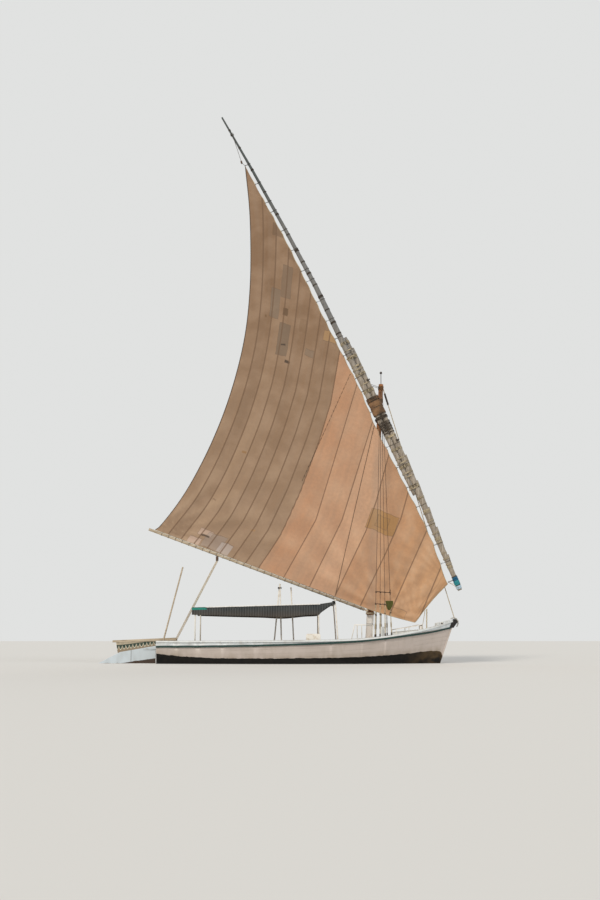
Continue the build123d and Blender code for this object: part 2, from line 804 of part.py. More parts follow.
with BuildPart() as stern_pole:
    way = (Vector(*POLE_TOP) - Vector(*POLE_LOW, AFT_DECK_Z)).normalized()
    low = Vector(*POLE_LOW, AFT_DECK_Z) - way * (2 * POLE_R)
    spar(tuple(low), POLE_TOP, POLE_R)
    slab(DECK_CUT, ACROSS, (KEEL_Z, AFT_DECK_Z), mode=Mode.SUBTRACT)
write("stern_pole", stern_pole)

# Rudder: deep blade, frieze along its top, tiller, and pintles in the post's lugs
pivot_x = stern_face - HINGE_BACK
blade_x = pivot_x - BLADE_BACK
with BuildPart() as rudder_blade:
    outline = [(blade_x, BLADE_TOP_Z), BLADE_SHOULDER, BLADE_WATER, *BLADE_LOW]
    outline.append((blade_x, BLADE_HEEL_Z))
    extrude(side_outline(outline, 0), amount=RUDDER_T / 2, both=True)
write("rudder_blade", rudder_blade)

with BuildPart() as tiller:
    way = Vector(*TILLER_FORE) - Vector(*TILLER_AFT)
    with BuildSketch(Plane(origin=TILLER_AFT, x_dir=(0, 1, 0), z_dir=way)):
        RectangleRounded(*TILLER_AFT_SIZE, 12)
    with BuildSketch(Plane(origin=TILLER_FORE, x_dir=(0, 1, 0), z_dir=way)):
        RectangleRounded(*TILLER_FORE_SIZE, 20)
    loft()
write("tiller", tiller)

with BuildPart() as rudder_frieze:
    outline = [(blade_x, FRIEZE_FORE_Z[0]), (blade_x, FRIEZE_FORE_Z[1]), *FRIEZE]
    extrude(side_outline(outline, 0), amount=FRIEZE_T / 2, both=True)
    add(rudder_blade.part, mode=Mode.SUBTRACT)
    add(tiller.part, mode=Mode.SUBTRACT)
write("rudder_frieze", rudder_frieze)

with BuildPart() as rudder_straps:
    for z in STRAP_Z:
        high = (z - STRAP_H / 2, z + STRAP_H / 2)
        arm_y = (-RUDDER_T / 2 - STRAP_T, RUDDER_T / 2 + STRAP_T)
        spar((pivot_x, 0, high[0]), (pivot_x, 0, high[1]), NOSE_R)
        slab((blade_x, pivot_x), (-NOSE_R, NOSE_R), high)
        slab((blade_x - STRAP_LONG, blade_x + STRAP_T), arm_y, high)
        spar((pivot_x, 0, high[0] - PINTLE_L), (pivot_x, 0, high[0] + 2), PINTLE_R)
    add(rudder_blade.part, mode=Mode.SUBTRACT)
write("rudder_straps", rudder_straps)

with BuildPart() as gudgeons:
    for z in STRAP_Z:
        top = z - STRAP_H / 2 - LUG_GAP
        spar((pivot_x, 0, top - LUG_H), (pivot_x, 0, top), LUG_R)
        slab((pivot_x, stern_face), (-LUG_R, LUG_R), (top - LUG_H, top))
        bore = (pivot_x, 0, top - 2 * LUG_H), (pivot_x, 0, top + LUG_H)
        spar(*bore, PINTLE_R + PIN_CLEAR, mode=Mode.SUBTRACT)
write("gudgeons", gudgeons)

# Poles that stand on the floor and pass through the awning
poles = {"boom_crutch_a": CRUTCH[0], "boom_crutch_b": CRUTCH[1], "centre_pole": CENTRE_POLE}


def pole_ends(foot, top):
    """Both ends of a pole, the lower one run on below the floor's top."""
    low = Vector(*foot, SOLE_TOP)
    way = (Vector(*top) - low).normalized()
    return tuple(low - way * (3 * POLE_TUBE_R)), top


for name, (foot, top) in poles.items():
    with BuildPart() as pole:
        spar(*pole_ends(foot, top), POLE_TUBE_R)
        slab(BENCH_X, ACROSS, (KEEL_Z, SOLE_TOP), mode=Mode.SUBTRACT)
    write(name, pole)

# Awning: top cloth, a swagged valance each side, posts and a gathered bundle
with BuildPart() as awning_top:
    outline = [
        (AWN_X[0], AWN_Z[0] - AWN_T),
        (AWN_X[1], AWN_Z[1] - AWN_T),
        (AWN_X[1], AWN_Z[1]),
        (AWN_X[0], AWN_Z[0]),
    ]
    extrude(side_outline(outline, 0), amount=AWN_HALF, both=True)
    for foot, top in poles.values():
        spar(*pole_ends(foot, top), POLE_TUBE_R + POLE_CLEAR, mode=Mode.SUBTRACT)
write("awning_top", awning_top)

for word, side in SIDES:
    with BuildPart() as valance:
        outline = [(AWN_X[0], AWN_Z[0] - AWN_T), *SWAG, (AWN_X[1], AWN_Z[1] - AWN_T)]
        hung = side_outline(outline, side * (AWN_HALF - VALANCE_IN))
        extrude(hung, amount=VALANCE_T / 2, both=True)
    write("awning_valance_" + word, valance)

with BuildPart() as awning_bundle:
    spar((BUNDLE_X, -AWN_HALF, BUNDLE_Z), (BUNDLE_X, AWN_HALF, BUNDLE_Z), BUNDLE_R)
write("awning_bundle", awning_bundle)

for word, side in SIDES:
    with BuildPart() as posts:
        y = side * (AWN_HALF - POST_IN)
        for x, low_z in zip(POST_X, (AFT_DECK_Z, BENCH_Z)):
            share = (x - AWN_X[0]) / (AWN_X[1] - AWN_X[0])
            top_z = AWN_Z[0] + share * (AWN_Z[1] - AWN_Z[0]) - AWN_T / 2
            spar((x, y, low_z), (x, y, top_z), TUBE_R)
        spar((LEAN_POST[0], y, BENCH_Z - BOARD), (LEAN_POST[1], y, BUNDLE_Z), TUBE_R)
        for piece in (awning_top, awning_bundle, benches[word]):
            add(piece.part, mode=Mode.SUBTRACT)
        slab(BENCH_X, ACROSS, (0, BENCH_Z), mode=Mode.SUBTRACT)
    write("awning_posts_" + word, posts)

# Rails, box, seat back, mooring post and the guard on the stem
with BuildPart() as side_rail:
    places = {}
    for x in SIDE_RAIL_X + SIDE_RAIL_POSTS:
        b_rail, z_rail = rail_at(x)
        places[x] = (-b_rail + STAY_FOOT_IN, z_rail - 6)
    rail_y = places[SIDE_RAIL_X[1]][0]
    spar((SIDE_RAIL_X[0], *places[SIDE_RAIL_X[0]]), (SIDE_RAIL_X[1], rail_y, SIDE_RAIL_Z), RAIL_R)
    spar((SIDE_RAIL_X[1], rail_y, SIDE_RAIL_Z), (SIDE_RAIL_X[2], rail_y + 180, SIDE_RAIL_Z), RAIL_R)
    for x in SIDE_RAIL_POSTS:
        share = (x - SIDE_RAIL_X[1]) / (SIDE_RAIL_X[2] - SIDE_RAIL_X[1])
        spar((x, *places[x]), (x, rail_y + 180 * share, SIDE_RAIL_Z), RAIL_R)
    add(caps["starboard"].part, mode=Mode.SUBTRACT)
write("side_rail", side_rail)

for word, side in SIDES:
    with BuildPart() as bow_rail:
        tops = []
        for x in BOW_RAIL_X:
            b_rail, z_rail = rail_at(x)
            y = side * (b_rail - STAY_FOOT_IN)
            tops.append((x, y, z_rail + BOW_RAIL_UP))
            spar((x, y, z_rail - 6), tops[-1], BOW_RAIL_R)
        for start, end in zip(tops, tops[1:]):
            spar(start, end, BOW_RAIL_R)
        add(caps[word].part, mode=Mode.SUBTRACT)
    write("bow_rail_" + word, bow_rail)

with BuildPart() as stowage_box:
    slab(BOX_X, BOX_Y, (FORE_DECK_Z - BOARD, FORE_DECK_Z + BOX_H))
    fillet(stowage_box.edges().filter_by(Axis.Z), 18)
    split(bisect_by=deck_plane, keep=Keep.TOP)
write("stowage_box", stowage_box)

with BuildPart() as seat_back:
    slab(SEAT_BACK_X, (SEAT_BACK_Y - SEAT_BACK_T, SEAT_BACK_Y), (BENCH_Z, SEAT_BACK_TOP))
    fillet(seat_back.edges().filter_by(Axis.Y).sort_by(Axis.Z)[-2:], 60)
write("seat_back", seat_back)

with BuildPart() as mooring_post:
    top = fore_deck_at(MOORING_X) + MOORING_UP
    spar((MOORING_X, 0, fore_deck_at(MOORING_X) - MOORING_R), (MOORING_X, 0, top), MOORING_R)
    split(bisect_by=deck_plane, keep=Keep.TOP)
write("mooring_post", mooring_post)

with BuildPart() as stem_guard:
    low_x, high_x = (stem_line(z)[0] for z in GUARD_Z)
    outline = [(low_x - 60, GUARD_Z[0]), (low_x + STEM_T + 10, GUARD_Z[0]),
               (high_x + STEM_T + GUARD_T, (GUARD_Z[0] + GUARD_Z[1]) / 2 + 60),
               (high_x + STEM_T, GUARD_Z[1]), (high_x - 20, GUARD_Z[1])]
    extrude(side_outline(outline, 0), amount=GUARD_W / 2, both=True)
    for piece in (stem_post, outer, *caps.values(), *rubs.values(), forestay):
        add(piece.part, mode=Mode.SUBTRACT)
write("stem_guard", stem_guard)
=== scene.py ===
# %% [markdown]
# # A Nile felucca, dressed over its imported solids
# This notebook takes the plain solids of the boat as a fixed frame and gives every surface its
# looks: painted planks, sewn cotton cloths, laid rope, hewn spars and a striped awning. All
# lengths are metres. +X is towards the bow, +Y to port, +Z up, and z = 0 is the waterline.

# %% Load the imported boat
import json
from functools import partial
from math import atan2, copysign, cos, exp, log, pi, radians, sin, sqrt, tan

import bmesh
import bpy
from mathutils import Matrix, Vector, noise
from mathutils.bvhtree import BVHTree

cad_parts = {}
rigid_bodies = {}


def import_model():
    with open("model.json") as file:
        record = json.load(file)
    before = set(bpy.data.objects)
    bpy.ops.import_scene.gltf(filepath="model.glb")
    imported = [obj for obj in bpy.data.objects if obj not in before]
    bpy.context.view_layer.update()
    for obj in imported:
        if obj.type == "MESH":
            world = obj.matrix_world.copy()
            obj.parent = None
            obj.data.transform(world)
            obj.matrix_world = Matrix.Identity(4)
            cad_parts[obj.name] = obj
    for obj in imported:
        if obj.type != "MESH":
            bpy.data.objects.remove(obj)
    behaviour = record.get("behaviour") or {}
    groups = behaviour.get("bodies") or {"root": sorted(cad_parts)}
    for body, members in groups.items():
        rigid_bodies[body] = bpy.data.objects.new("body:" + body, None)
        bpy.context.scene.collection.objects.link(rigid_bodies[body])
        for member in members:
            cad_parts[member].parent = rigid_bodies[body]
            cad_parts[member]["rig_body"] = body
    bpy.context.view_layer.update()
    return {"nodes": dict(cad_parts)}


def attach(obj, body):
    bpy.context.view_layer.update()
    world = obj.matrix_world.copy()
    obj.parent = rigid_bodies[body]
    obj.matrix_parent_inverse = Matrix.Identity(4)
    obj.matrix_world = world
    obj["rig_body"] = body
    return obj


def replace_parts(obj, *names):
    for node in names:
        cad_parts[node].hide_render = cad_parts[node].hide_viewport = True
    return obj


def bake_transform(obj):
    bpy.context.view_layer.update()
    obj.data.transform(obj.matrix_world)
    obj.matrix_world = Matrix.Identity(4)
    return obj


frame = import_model()
nodes = frame["nodes"]

# %% [markdown]
# ## Small helpers
# Colours are written as the hex codes that a paint card shows, and one function turns them into
# the linear numbers that a shader wants. One function adds a node, sets it and links it. The
# short ones after it name the sums and mixes that every finish is made of.

# %% Colour and node helpers
def linear(code):
    """An sRGB hex colour as the linear RGBA that a socket takes."""
    parts = [int(code[i : i + 2], 16) / 255 for i in (1, 3, 5)]
    return tuple(p / 12.92 if p <= 0.04045 else ((p + 0.055) / 1.055) ** 2.4 for p in parts) + (1.0,)


def add_node(near, kind, inputs=(), **settings):
    """Adds a shader node in the tree of a node or socket near it.

    inputs gives a socket a number, a hex colour or another node's output."""
    tree = near.id_data
    new = tree.nodes.new("ShaderNode" + kind)
    for key, value in settings.items():
        setattr(new, key, value)
    for key, value in dict(inputs).items():
        if isinstance(value, bpy.types.NodeSocket):
            tree.links.new(value, new.inputs[key])
        else:
            new.inputs[key].default_value = linear(value) if isinstance(value, str) else value
    return new


def new_finish(name, roughness=0.6, **fixed):
    """A material, its surface shader and the Object coordinates, which are the boat's metres."""
    finish = bpy.data.materials.new(name)
    finish.use_nodes = True
    surface = finish.node_tree.nodes["Principled BSDF"]
    surface.inputs["Roughness"].default_value = roughness
    for key, value in fixed.items():
        surface.inputs[key.replace("_", " ")].default_value = value
    return finish, surface, add_node(surface, "TexCoord").outputs["Object"]


def sums(way, *values):
    """One Math node, from numbers and sockets."""
    near = next(v for v in values if isinstance(v, bpy.types.NodeSocket))
    return add_node(near, "Math", dict(enumerate(values)), operation=way).outputs[0]


times, plus, minus = partial(sums, "MULTIPLY"), partial(sums, "ADD"), partial(sums, "SUBTRACT")
less, more = partial(sums, "LESS_THAN"), partial(sums, "GREATER_THAN")


def apart(first, second):
    """How far two values are from each other."""
    return sums("ABSOLUTE", minus(first, second))


def spread(value, low, high, top=1.0, bottom=0.0):
    """A value mapped from low and high to bottom and top, and held beyond them."""
    return add_node(value, "MapRange", {0: value, 1: low, 2: high, 3: bottom, 4: top}).outputs[0]


def split(place):
    return add_node(place, "SeparateXYZ", {0: place}).outputs


def mix(share, first, second):
    """A mix of two colours, each a hex code or a socket."""
    ends = {0: share, 6: first, 7: second}
    return add_node(share, "Mix", ends, data_type="RGBA", clamp_factor=True).outputs[2]


def tint(colour, mask, strength, paint):
    """The colour with some of a paint over it where the mask is 1."""
    return mix(times(mask, strength), colour, paint)


def grey_noise(place, scale, detail=3.0, stretch=(1, 1, 1), low=0.35, high=0.65):
    """Noise in the boat's metres, stretched along an axis and spread to fill 0 to 1."""
    mapped = add_node(place, "Mapping", {"Vector": place, "Scale": stretch}).outputs[0]
    raw = add_node(place, "TexNoise", {"Vector": mapped, "Scale": scale, "Detail": detail}).outputs[0]
    return spread(raw, low, high)


def grey_by_number(value):
    """One random grey for all values with the same whole number."""
    return add_node(value, "TexWhiteNoise", {1: sums("FLOOR", value)}, noise_dimensions="1D").outputs[0]


def coat(surface, colour, height=None, distance=0.0015, strength=0.6):
    """Gives the surface its colour, and its relief from a height, in metres at full white."""
    links = surface.id_data.links
    links.new(colour, surface.inputs["Base Color"])
    if height is not None:
        relief = add_node(surface, "Bump", {"Height": height, "Distance": distance, "Strength": strength})
        links.new(relief.outputs[0], surface.inputs["Normal"])


def add_object(name, data):
    """Puts a mesh, curve, lamp or camera in the scene."""
    held = bpy.data.objects.new(name, data)
    bpy.context.scene.collection.objects.link(held)
    return held


print("helpers ready")

# %% [markdown]
# ## Camera, floor and light
# The photograph was taken from just above the waterline, 43 m off the starboard side, with a
# lens of 50 mm turned up by 8.55 degrees. The floor lies at the waterline, so the hull's bottom
# is below it. Floor and backdrop are plain and pale, and the light is soft and neutral.

# %% Camera
CAMERA_AT = (-0.22, -43.0, 0.85)
CAMERA_UP = 8.55
lens = bpy.data.cameras.new("view")
lens.lens = 50
lens.sensor_width = 36
lens.clip_end = 600
camera = add_object("view", lens)
camera.location = CAMERA_AT
camera.rotation_euler = (radians(90 + CAMERA_UP), 0, 0)
bpy.context.scene.camera = camera
bpy.context.scene.view_settings.view_transform = "Standard"
print("camera at", CAMERA_AT)

# %% Floor, backdrop and lamps
FLOOR_HALF = 300
floor_mesh = bpy.data.meshes.new("floor")
built = bmesh.new()
bmesh.ops.create_grid(built, x_segments=1, y_segments=1, size=FLOOR_HALF)
built.to_mesh(floor_mesh)
built.free()
floor = add_object("floor", floor_mesh)
floor_finish, surface, place = new_finish("pale_floor", 0.9)
surface.inputs["Base Color"].default_value = linear("#D9D8D4")
surface.inputs["Specular IOR Level"].default_value = 0.0
floor_mesh.materials.append(floor_finish)

world = bpy.data.worlds.new("soft_studio")
bpy.context.scene.world = world
world.use_nodes = True
sky = world.node_tree.nodes["Background"]
seen = add_node(sky, "LightPath").outputs
shown = sums("MAXIMUM", seen["Is Camera Ray"], seen["Is Glossy Ray"])
shown = sums("MAXIMUM", shown, seen["Is Transmission Ray"])
world.node_tree.links.new(mix(shown, "#F4F5F6", "#E6E7E6"), sky.inputs["Color"])
world.node_tree.links.new(spread(shown, 0, 1, 0.95, 0.62), sky.inputs["Strength"])

LAMPS = (
    ("key", (-0.42, -0.80, 0.62), 1.75, 12, "#FFF6EA"),
    ("fill", (0.75, -0.5, 0.45), 0.5, 40, "#F3F7FF"),
    ("back", (0.2, 0.9, 0.5), 0.45, 30, "#FFFFFF"),
)
for name, way, power, wide, hue in LAMPS:
    lamp = bpy.data.lights.new(name, "SUN")
    lamp.energy = power
    lamp.angle = radians(wide)
    lamp.color = linear(hue)[:3]
    held = add_object(name, lamp)
    held.rotation_euler = Vector(way).to_track_quat("Z", "Y").to_euler()
print("lamps:", len(LAMPS))

# %% [markdown]
# ## Painted timber
# The hull is carvel planked and painted with white enamel year after year. The eye sees a soft
# gloss, faint plank seams, streaks that run down from the rail, and grime by the waterline. The
# bottom is tarred black up to a line that rises at both ends, and brown where it has dried.

# %% Hull paint
HULL_LONG = (-5.2, 5.2)
BOTTOM_EDGE = (
    (-5.0, 0.327), (-4.3, 0.255), (-3.6, 0.207), (-1.9, 0.170), (0.0, 0.183),
    (1.6, 0.215), (3.2, 0.307), (4.45, 0.397), (4.59, 0.34), (4.64, 0.06), (5.2, 0.0),
)
SHEER = (
    (-5.0, 0.56), (-3.0, 0.578), (-0.5, 0.632), (1.8, 0.745), (3.15, 0.915), (3.95, 1.05), (5.2, 1.25),
)
EDGE_SPAN = 2.0
PLANK_WIDE = 0.135


def height_curve(along, points):
    """A height that changes along the boat, as a curve through (x, z) points."""
    curve = add_node(along, "FloatCurve", {"Value": spread(along, *HULL_LONG)})
    line = curve.mapping.curves[0]
    spots = [((x - HULL_LONG[0]) / (HULL_LONG[1] - HULL_LONG[0]), z / EDGE_SPAN) for x, z in points]
    line.points[0].location = spots[0]
    line.points[1].location = spots[-1]
    for spot in spots[1:-1]:
        line.points.new(*spot)
    curve.mapping.update()
    return times(curve.outputs[0], EDGE_SPAN)


def white_enamel(name, white, shaded_below_rub, with_bottom):
    """White enamel on planks in painted shade, darker and pinker below the rub rail; with_bottom adds tar
    and grime.
    """
    finish, surface, place = new_finish(name, 0.42, Specular_IOR_Level=0.32)
    x, y, z = split(place)
    streaks = grey_noise(place, 5.0, 4.0, (1.6, 1.6, 0.22), 0.45, 0.75)
    stains = grey_noise(place, 1.7, 5.0, (0.5, 0.5, 1.5), 0.52, 0.80)
    rise = minus(height_curve(x, SHEER), z)
    # The bluish white above the rub rail and the darker, pinker grey below it are painted shade on one white
    # paint.
    colour = mix(more(rise, 0.0), white, shaded_below_rub)
    colour = tint(colour, streaks, 0.32, "#A3998A")
    colour = tint(colour, stains, 0.34, "#8D8375")
    seam = less(sums("FRACT", sums("DIVIDE", rise, PLANK_WIDE)), 0.045)
    seam = times(seam, grey_noise(place, 0.9, 2.0, (1, 1, 3), 0.35, 0.6))
    colour = tint(colour, seam, 0.45, "#6E6455")
    roughness = plus(times(stains, 0.25), 0.36)
    if with_bottom:
        ragged = times(grey_noise(place, 6.0, 4.0), 0.022)
        above = minus(z, plus(height_curve(x, BOTTOM_EDGE), ragged))
        grime = times(spread(above, 0.20, 0.0, 0.55), grey_noise(place, 3.0, 4.0, (1, 1, 0.3), 0.3, 0.6))
        colour = mix(grime, colour, "#8A7B66")
        dry = times(spread(x, 3.1, 4.5), grey_noise(place, 2.4, 4.0, (1, 1, 1.6), 0.35, 0.6))
        tar = mix(grey_noise(place, 7.0, 4.0), "#0A0908", "#171410")
        tar = mix(dry, tar, "#54432C")
        leans = split(add_node(surface, "NewGeometry").outputs["Normal"])[1]
        inner = less(times(leans, y), -0.03)
        below = times(less(above, 0.0), minus(1.0, inner))
        colour = tint(colour, inner, 0.6, "#B5A994")
        colour = mix(below, colour, tar)
        roughness = plus(roughness, times(below, 0.5))
    surface.id_data.links.new(roughness, surface.inputs["Roughness"])
    coat(surface, colour, minus(grey_noise(place, 28.0, 3.0), times(seam, 2.0)))
    return finish


hull_paint = white_enamel("enamel_on_planks", "#D5DBDD", "#BEB3AB", True)
rail_paint = white_enamel("enamel_on_rails", "#DCE0E0", "#CBC4BC", False)
print("hull paint done")

# %% [markdown]
# ## Bare wood, green trim, metal and rubber
# The yard and boom are eucalyptus poles bleached grey by the sun, with long cracks. The mast is
# oiled pine, brown-orange at its head and painted white by the deck. Deck boards are softwood
# that was once varnished. Grain runs along each spar, so the noise is stretched along it.

# %% Wood finishes
def grained_wood(name, pale, dark, along, crack=0.5, roughness=0.75):
    """Wood with grain along one axis: pale and dark are its two tones."""
    finish, surface, place = new_finish(name, roughness)
    stretch = [14.0, 14.0, 14.0]
    stretch["xyz".index(along)] = 0.55
    grain = grey_noise(place, 2.0, 6.0, stretch, 0.33, 0.67)
    blotch = grey_noise(place, 1.1, 3.0, (1, 1, 1), 0.38, 0.66)
    cracks = grey_noise(place, 3.1, 2.0, [s * 1.4 for s in stretch], 0.60, 0.68)
    colour = tint(mix(grain, pale, dark), blotch, 0.35, dark)
    colour = tint(colour, cracks, crack, "#3A2F26")
    coat(surface, colour, minus(grain, cracks), 0.002)
    return finish, surface, colour, place


def paint_over(surface, colour, mask, strength, paint):
    """Covers the colour that feeds the surface where the mask is 1."""
    painted = tint(colour, mask, strength, paint)
    coat(surface, painted)
    return painted


yard_wood, surface, colour, place = grained_wood("eucalyptus_weathered", "#B4A999", "#7D7264", "z")
BARE_YARD = (9.6, 12.0)
TARRED_YARD = (14.4, 17.0)
height = split(place)[2]
colour = paint_over(surface, colour, spread(height, *BARE_YARD), 0.72, "#5F6468")
paint_over(surface, colour, spread(height, *TARRED_YARD), 0.82, "#37403F")

boom_wood = grained_wood("eucalyptus_pale", "#CDBFA8", "#9C8B73", "x")[0]

WHITE_FOOT_TOP = 1.62
FOOT_BAND = (1.29, 0.035)
mast_wood, surface, colour, place = grained_wood("pine_oiled", "#A9713F", "#7A4A28", "z", 0.35, 0.6)
height = split(place)[2]
colour = paint_over(surface, colour, less(height, WHITE_FOOT_TOP), 0.97, "#E9E6E0")
paint_over(surface, colour, less(apart(height, FOOT_BAND[0]), FOOT_BAND[1]), 0.9, "#2C2A28")


def board_finish(name, pale, dark, along, across, width, roughness=0.6):
    """Boards of one width with dark joints: grain runs along one axis, joints lie across another."""
    finish, surface, colour, place = grained_wood(name, pale, dark, along, 0.3, roughness)
    run = sums("DIVIDE", split(place)["xyz".index(across)], width)
    colour = tint(colour, grey_by_number(run), 0.35, dark)
    paint_over(surface, colour, less(sums("FRACT", run), 0.05), 0.8, "#2A211A")
    return finish


deck_boards = board_finish("deck_pine", "#B99A70", "#8D6C46", "x", "y", 0.11)
cream_boards = board_finish("deck_painted", "#DCD3C1", "#B9AC95", "x", "y", 0.13, 0.5)
bench_boards = board_finish("bench_pine", "#B78A58", "#8A6238", "x", "y", 0.09, 0.5)
upright_boards = board_finish("bulkhead_pine", "#D2C6B0", "#A99B82", "z", "y", 0.12)
print("wood finishes done")

# %% Trim, metal, rubber and small paints
def worn_paint(name, paint, worn, roughness, metallic=0.0, scale=9.0):
    """One paint with a second tone where rope, rubbing and rust have worn it."""
    finish, surface, place = new_finish(name, roughness, Metallic=metallic)
    wear = grey_noise(place, scale, 5.0, (1, 1, 1), 0.50, 0.72)
    fine = grey_noise(place, scale * 6, 2.0)
    coat(surface, mix(times(wear, 0.65), paint, worn), plus(fine, wear), 0.0008)
    return finish


trim_green = worn_paint("enamel_green", "#10322E", "#2A4B42", 0.45)
pipe_white = worn_paint("enamel_on_pipe", "#E8E4DA", "#B9A68C", 0.4)
iron = worn_paint("iron_galvanised", "#4A4643", "#6B4A35", 0.55, 0.7, 20.0)
rubber = worn_paint("rubber_tyre", "#191817", "#33302C", 0.8)
block_wood = worn_paint("ash_oiled", "#4C3522", "#6E5238", 0.5)
strap_paint = worn_paint("enamel_on_iron", "#B9C2C6", "#7E7064", 0.5)
strop_rope = worn_paint("rope_on_ring", "#A3937B", "#75664F", 0.9, 0.0, 40.0)
hardware_steel = worn_paint("steel_bright", "#8D8A86", "#5B4A3C", 0.4, 0.9, 16.0)
cloth_blue, cloth_teal, cloth_navy, cloth_white = (
    worn_paint("cotton_" + dye, paint, worn, 0.9, 0.0, 14.0)
    for dye, paint, worn in (
        ("blue", "#A9BEC9", "#7D9AAA"), ("teal", "#23808A", "#3D8F8E"),
        ("navy", "#175576", "#2D6B84"), ("white", "#EDECE8", "#C9C5BC"),
    )
)
print("small finishes done")

# %% [markdown]
# ## From solids to finished pieces
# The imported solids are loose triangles. A copy has its doubles merged and its curved faces shaded
# smooth, and boards get a small rounded edge, because no sawn edge on a real boat is sharp. The
# copy then stands for the node.

# %% Piece helpers
def put_in(name, mesh, finish, body, slot):
    """Puts a mesh in the scene as a named piece that rides on a body."""
    piece = add_object(name, mesh)
    mesh.materials.clear()
    mesh.materials.append(finish)
    mesh.shade_smooth()
    if body:
        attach(piece, body)
    return piece


def new_piece(name, built, finish, slot, body="hull", smooth=35):
    """Turns a bmesh into a named piece, with smooth shading up to an angle."""
    mesh = bpy.data.meshes.new(name)
    built.to_mesh(mesh)
    built.free()
    piece = put_in(name, mesh, finish, body, slot)
    mesh.set_sharp_from_angle(angle=radians(smooth))
    return piece


def dress(node, finish, slot, edge=0.0, smooth=35):
    """Copies a node as a clean mesh, rounds its edges, and lets the copy stand for it."""
    built = bmesh.new()
    built.from_mesh(nodes[node].data)
    bmesh.ops.remove_doubles(built, verts=built.verts, dist=2e-5)
    if edge:
        flat = radians(0.6)
        bmesh.ops.dissolve_limit(built, angle_limit=flat, verts=built.verts, edges=built.edges)
    piece = new_piece(node + "_finished", built, finish, slot, nodes[node]["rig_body"], smooth)
    if edge:
        rounded = piece.modifiers.new("rounded", "BEVEL")
        rounded.width = edge
        rounded.segments = 2
        rounded.limit_method = "ANGLE"
        rounded.angle_limit = radians(40)
    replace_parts(piece, node)


def cloth_grid(columns, rows, place):
    """A grid whose points are put where a function of their two shares says."""
    built = bmesh.new()
    bmesh.ops.create_grid(built, x_segments=columns, y_segments=rows, size=0.5)
    for vert in built.verts:
        vert.co = place(vert.co.x + 0.5, vert.co.y + 0.5)
    return built


CLOTH_THICK = 0.004


def thicken(piece, offset=0.0):
    """Gives one layer of cloth its real thickness."""
    cloth = piece.modifiers.new("cloth", "SOLIDIFY")
    cloth.thickness = CLOTH_THICK
    cloth.offset = offset


# Each row: finish, slot, width of the rounded edge, and the nodes that get them.
DRESSING = (
    (hull_paint, "hull_white", 0.0, "hull_shell"),
    (hull_paint, "black_bottom", 0.006, "keel"),
    (hull_paint, "hull_white", 0.005, "stern_post"),
    (hull_paint, "hull_white", 0.012, "stem_post"),
    (rail_paint, "hull_white", 0.0, "gunwale_cap_port gunwale_cap_starboard"),
    (trim_green, "green_trim", 0.0, "rub_rail_port rub_rail_starboard"),
    (deck_boards, "deck_wood", 0.0, "floor_boards"),
    (cream_boards, "deck_wood", 0.0, "aft_deck fore_deck"),
    (upright_boards, "deck_wood", 0.0, "aft_bulkhead fore_bulkhead"),
    (bench_boards, "deck_wood", 0.004, "side_bench_port side_bench_starboard"),
    (upright_boards, "deck_wood", 0.004, "bench_fronts"),
    (bench_boards, "deck_wood", 0.006, "mast_thwart"),
    (deck_boards, "deck_wood", 0.0, "mast_step"),
    (mast_wood, "spar_wood", 0.0, "mast"),
    (yard_wood, "spar_wood", 0.0, "yard_lower yard_upper"),
    (boom_wood, "spar_wood", 0.0, "boom stern_pole"),
    (strop_rope, "rope", 0.0, "boom_strop"),
    (iron, "iron", 0.0, "mast_rod"),
    (mast_wood, "spar_wood", 0.0, "mooring_post"),
    (boom_wood, "spar_wood", 0.0, "tiller"),
    (strap_paint, "iron", 0.0, "rudder_straps"),
    (iron, "iron", 0.0, "gudgeons"),
    (rail_paint, "hull_white", 0.004, "stowage_box"),
    (pipe_white, "white_pipe", 0.004, "seat_back"),
    (pipe_white, "white_pipe", 0.0, "side_rail bow_rail_port bow_rail_starboard awning_posts_port"
     " awning_posts_starboard boom_crutch_a boom_crutch_b centre_pole"),
    (block_wood, "spar_wood", 0.008, "boom_block"),
    (hardware_steel, "iron", 0.008, "sheet_eye"),
)
for finish, slot, edge, names in DRESSING:
    for node in names.split():
        dress(node, finish, slot, edge)
print("dressed:", len(" ".join(row[-1] for row in DRESSING).split()))

# %% [markdown]
# ## Laid rope
# Rope is three strands twisted together. A three-lobed outline swept along the rope's line, with
# a tilt that grows along it, gives the real lay in geometry. Thin ropes seen from far away keep
# the same twist with fewer steps.

# %% Rope finish and rope maker
def rope_finish(name, pale, dark):
    finish, surface, place = new_finish(name, 0.9)
    fuzz = grey_noise(place, 60.0, 3.0)
    soiled = grey_noise(place, 2.5, 3.0)
    colour = tint(mix(times(fuzz, 0.5), pale, dark), soiled, 0.4, dark)
    coat(surface, colour, fuzz)
    return finish


rope_pale = rope_finish("manila_pale", "#CDBFA2", "#94856A")
rope_dark = rope_finish("manila_tarred", "#54483B", "#332B23")
LOBES = 3
PROFILE_POINTS = 9
LAY = 16
PITCH = 2.05


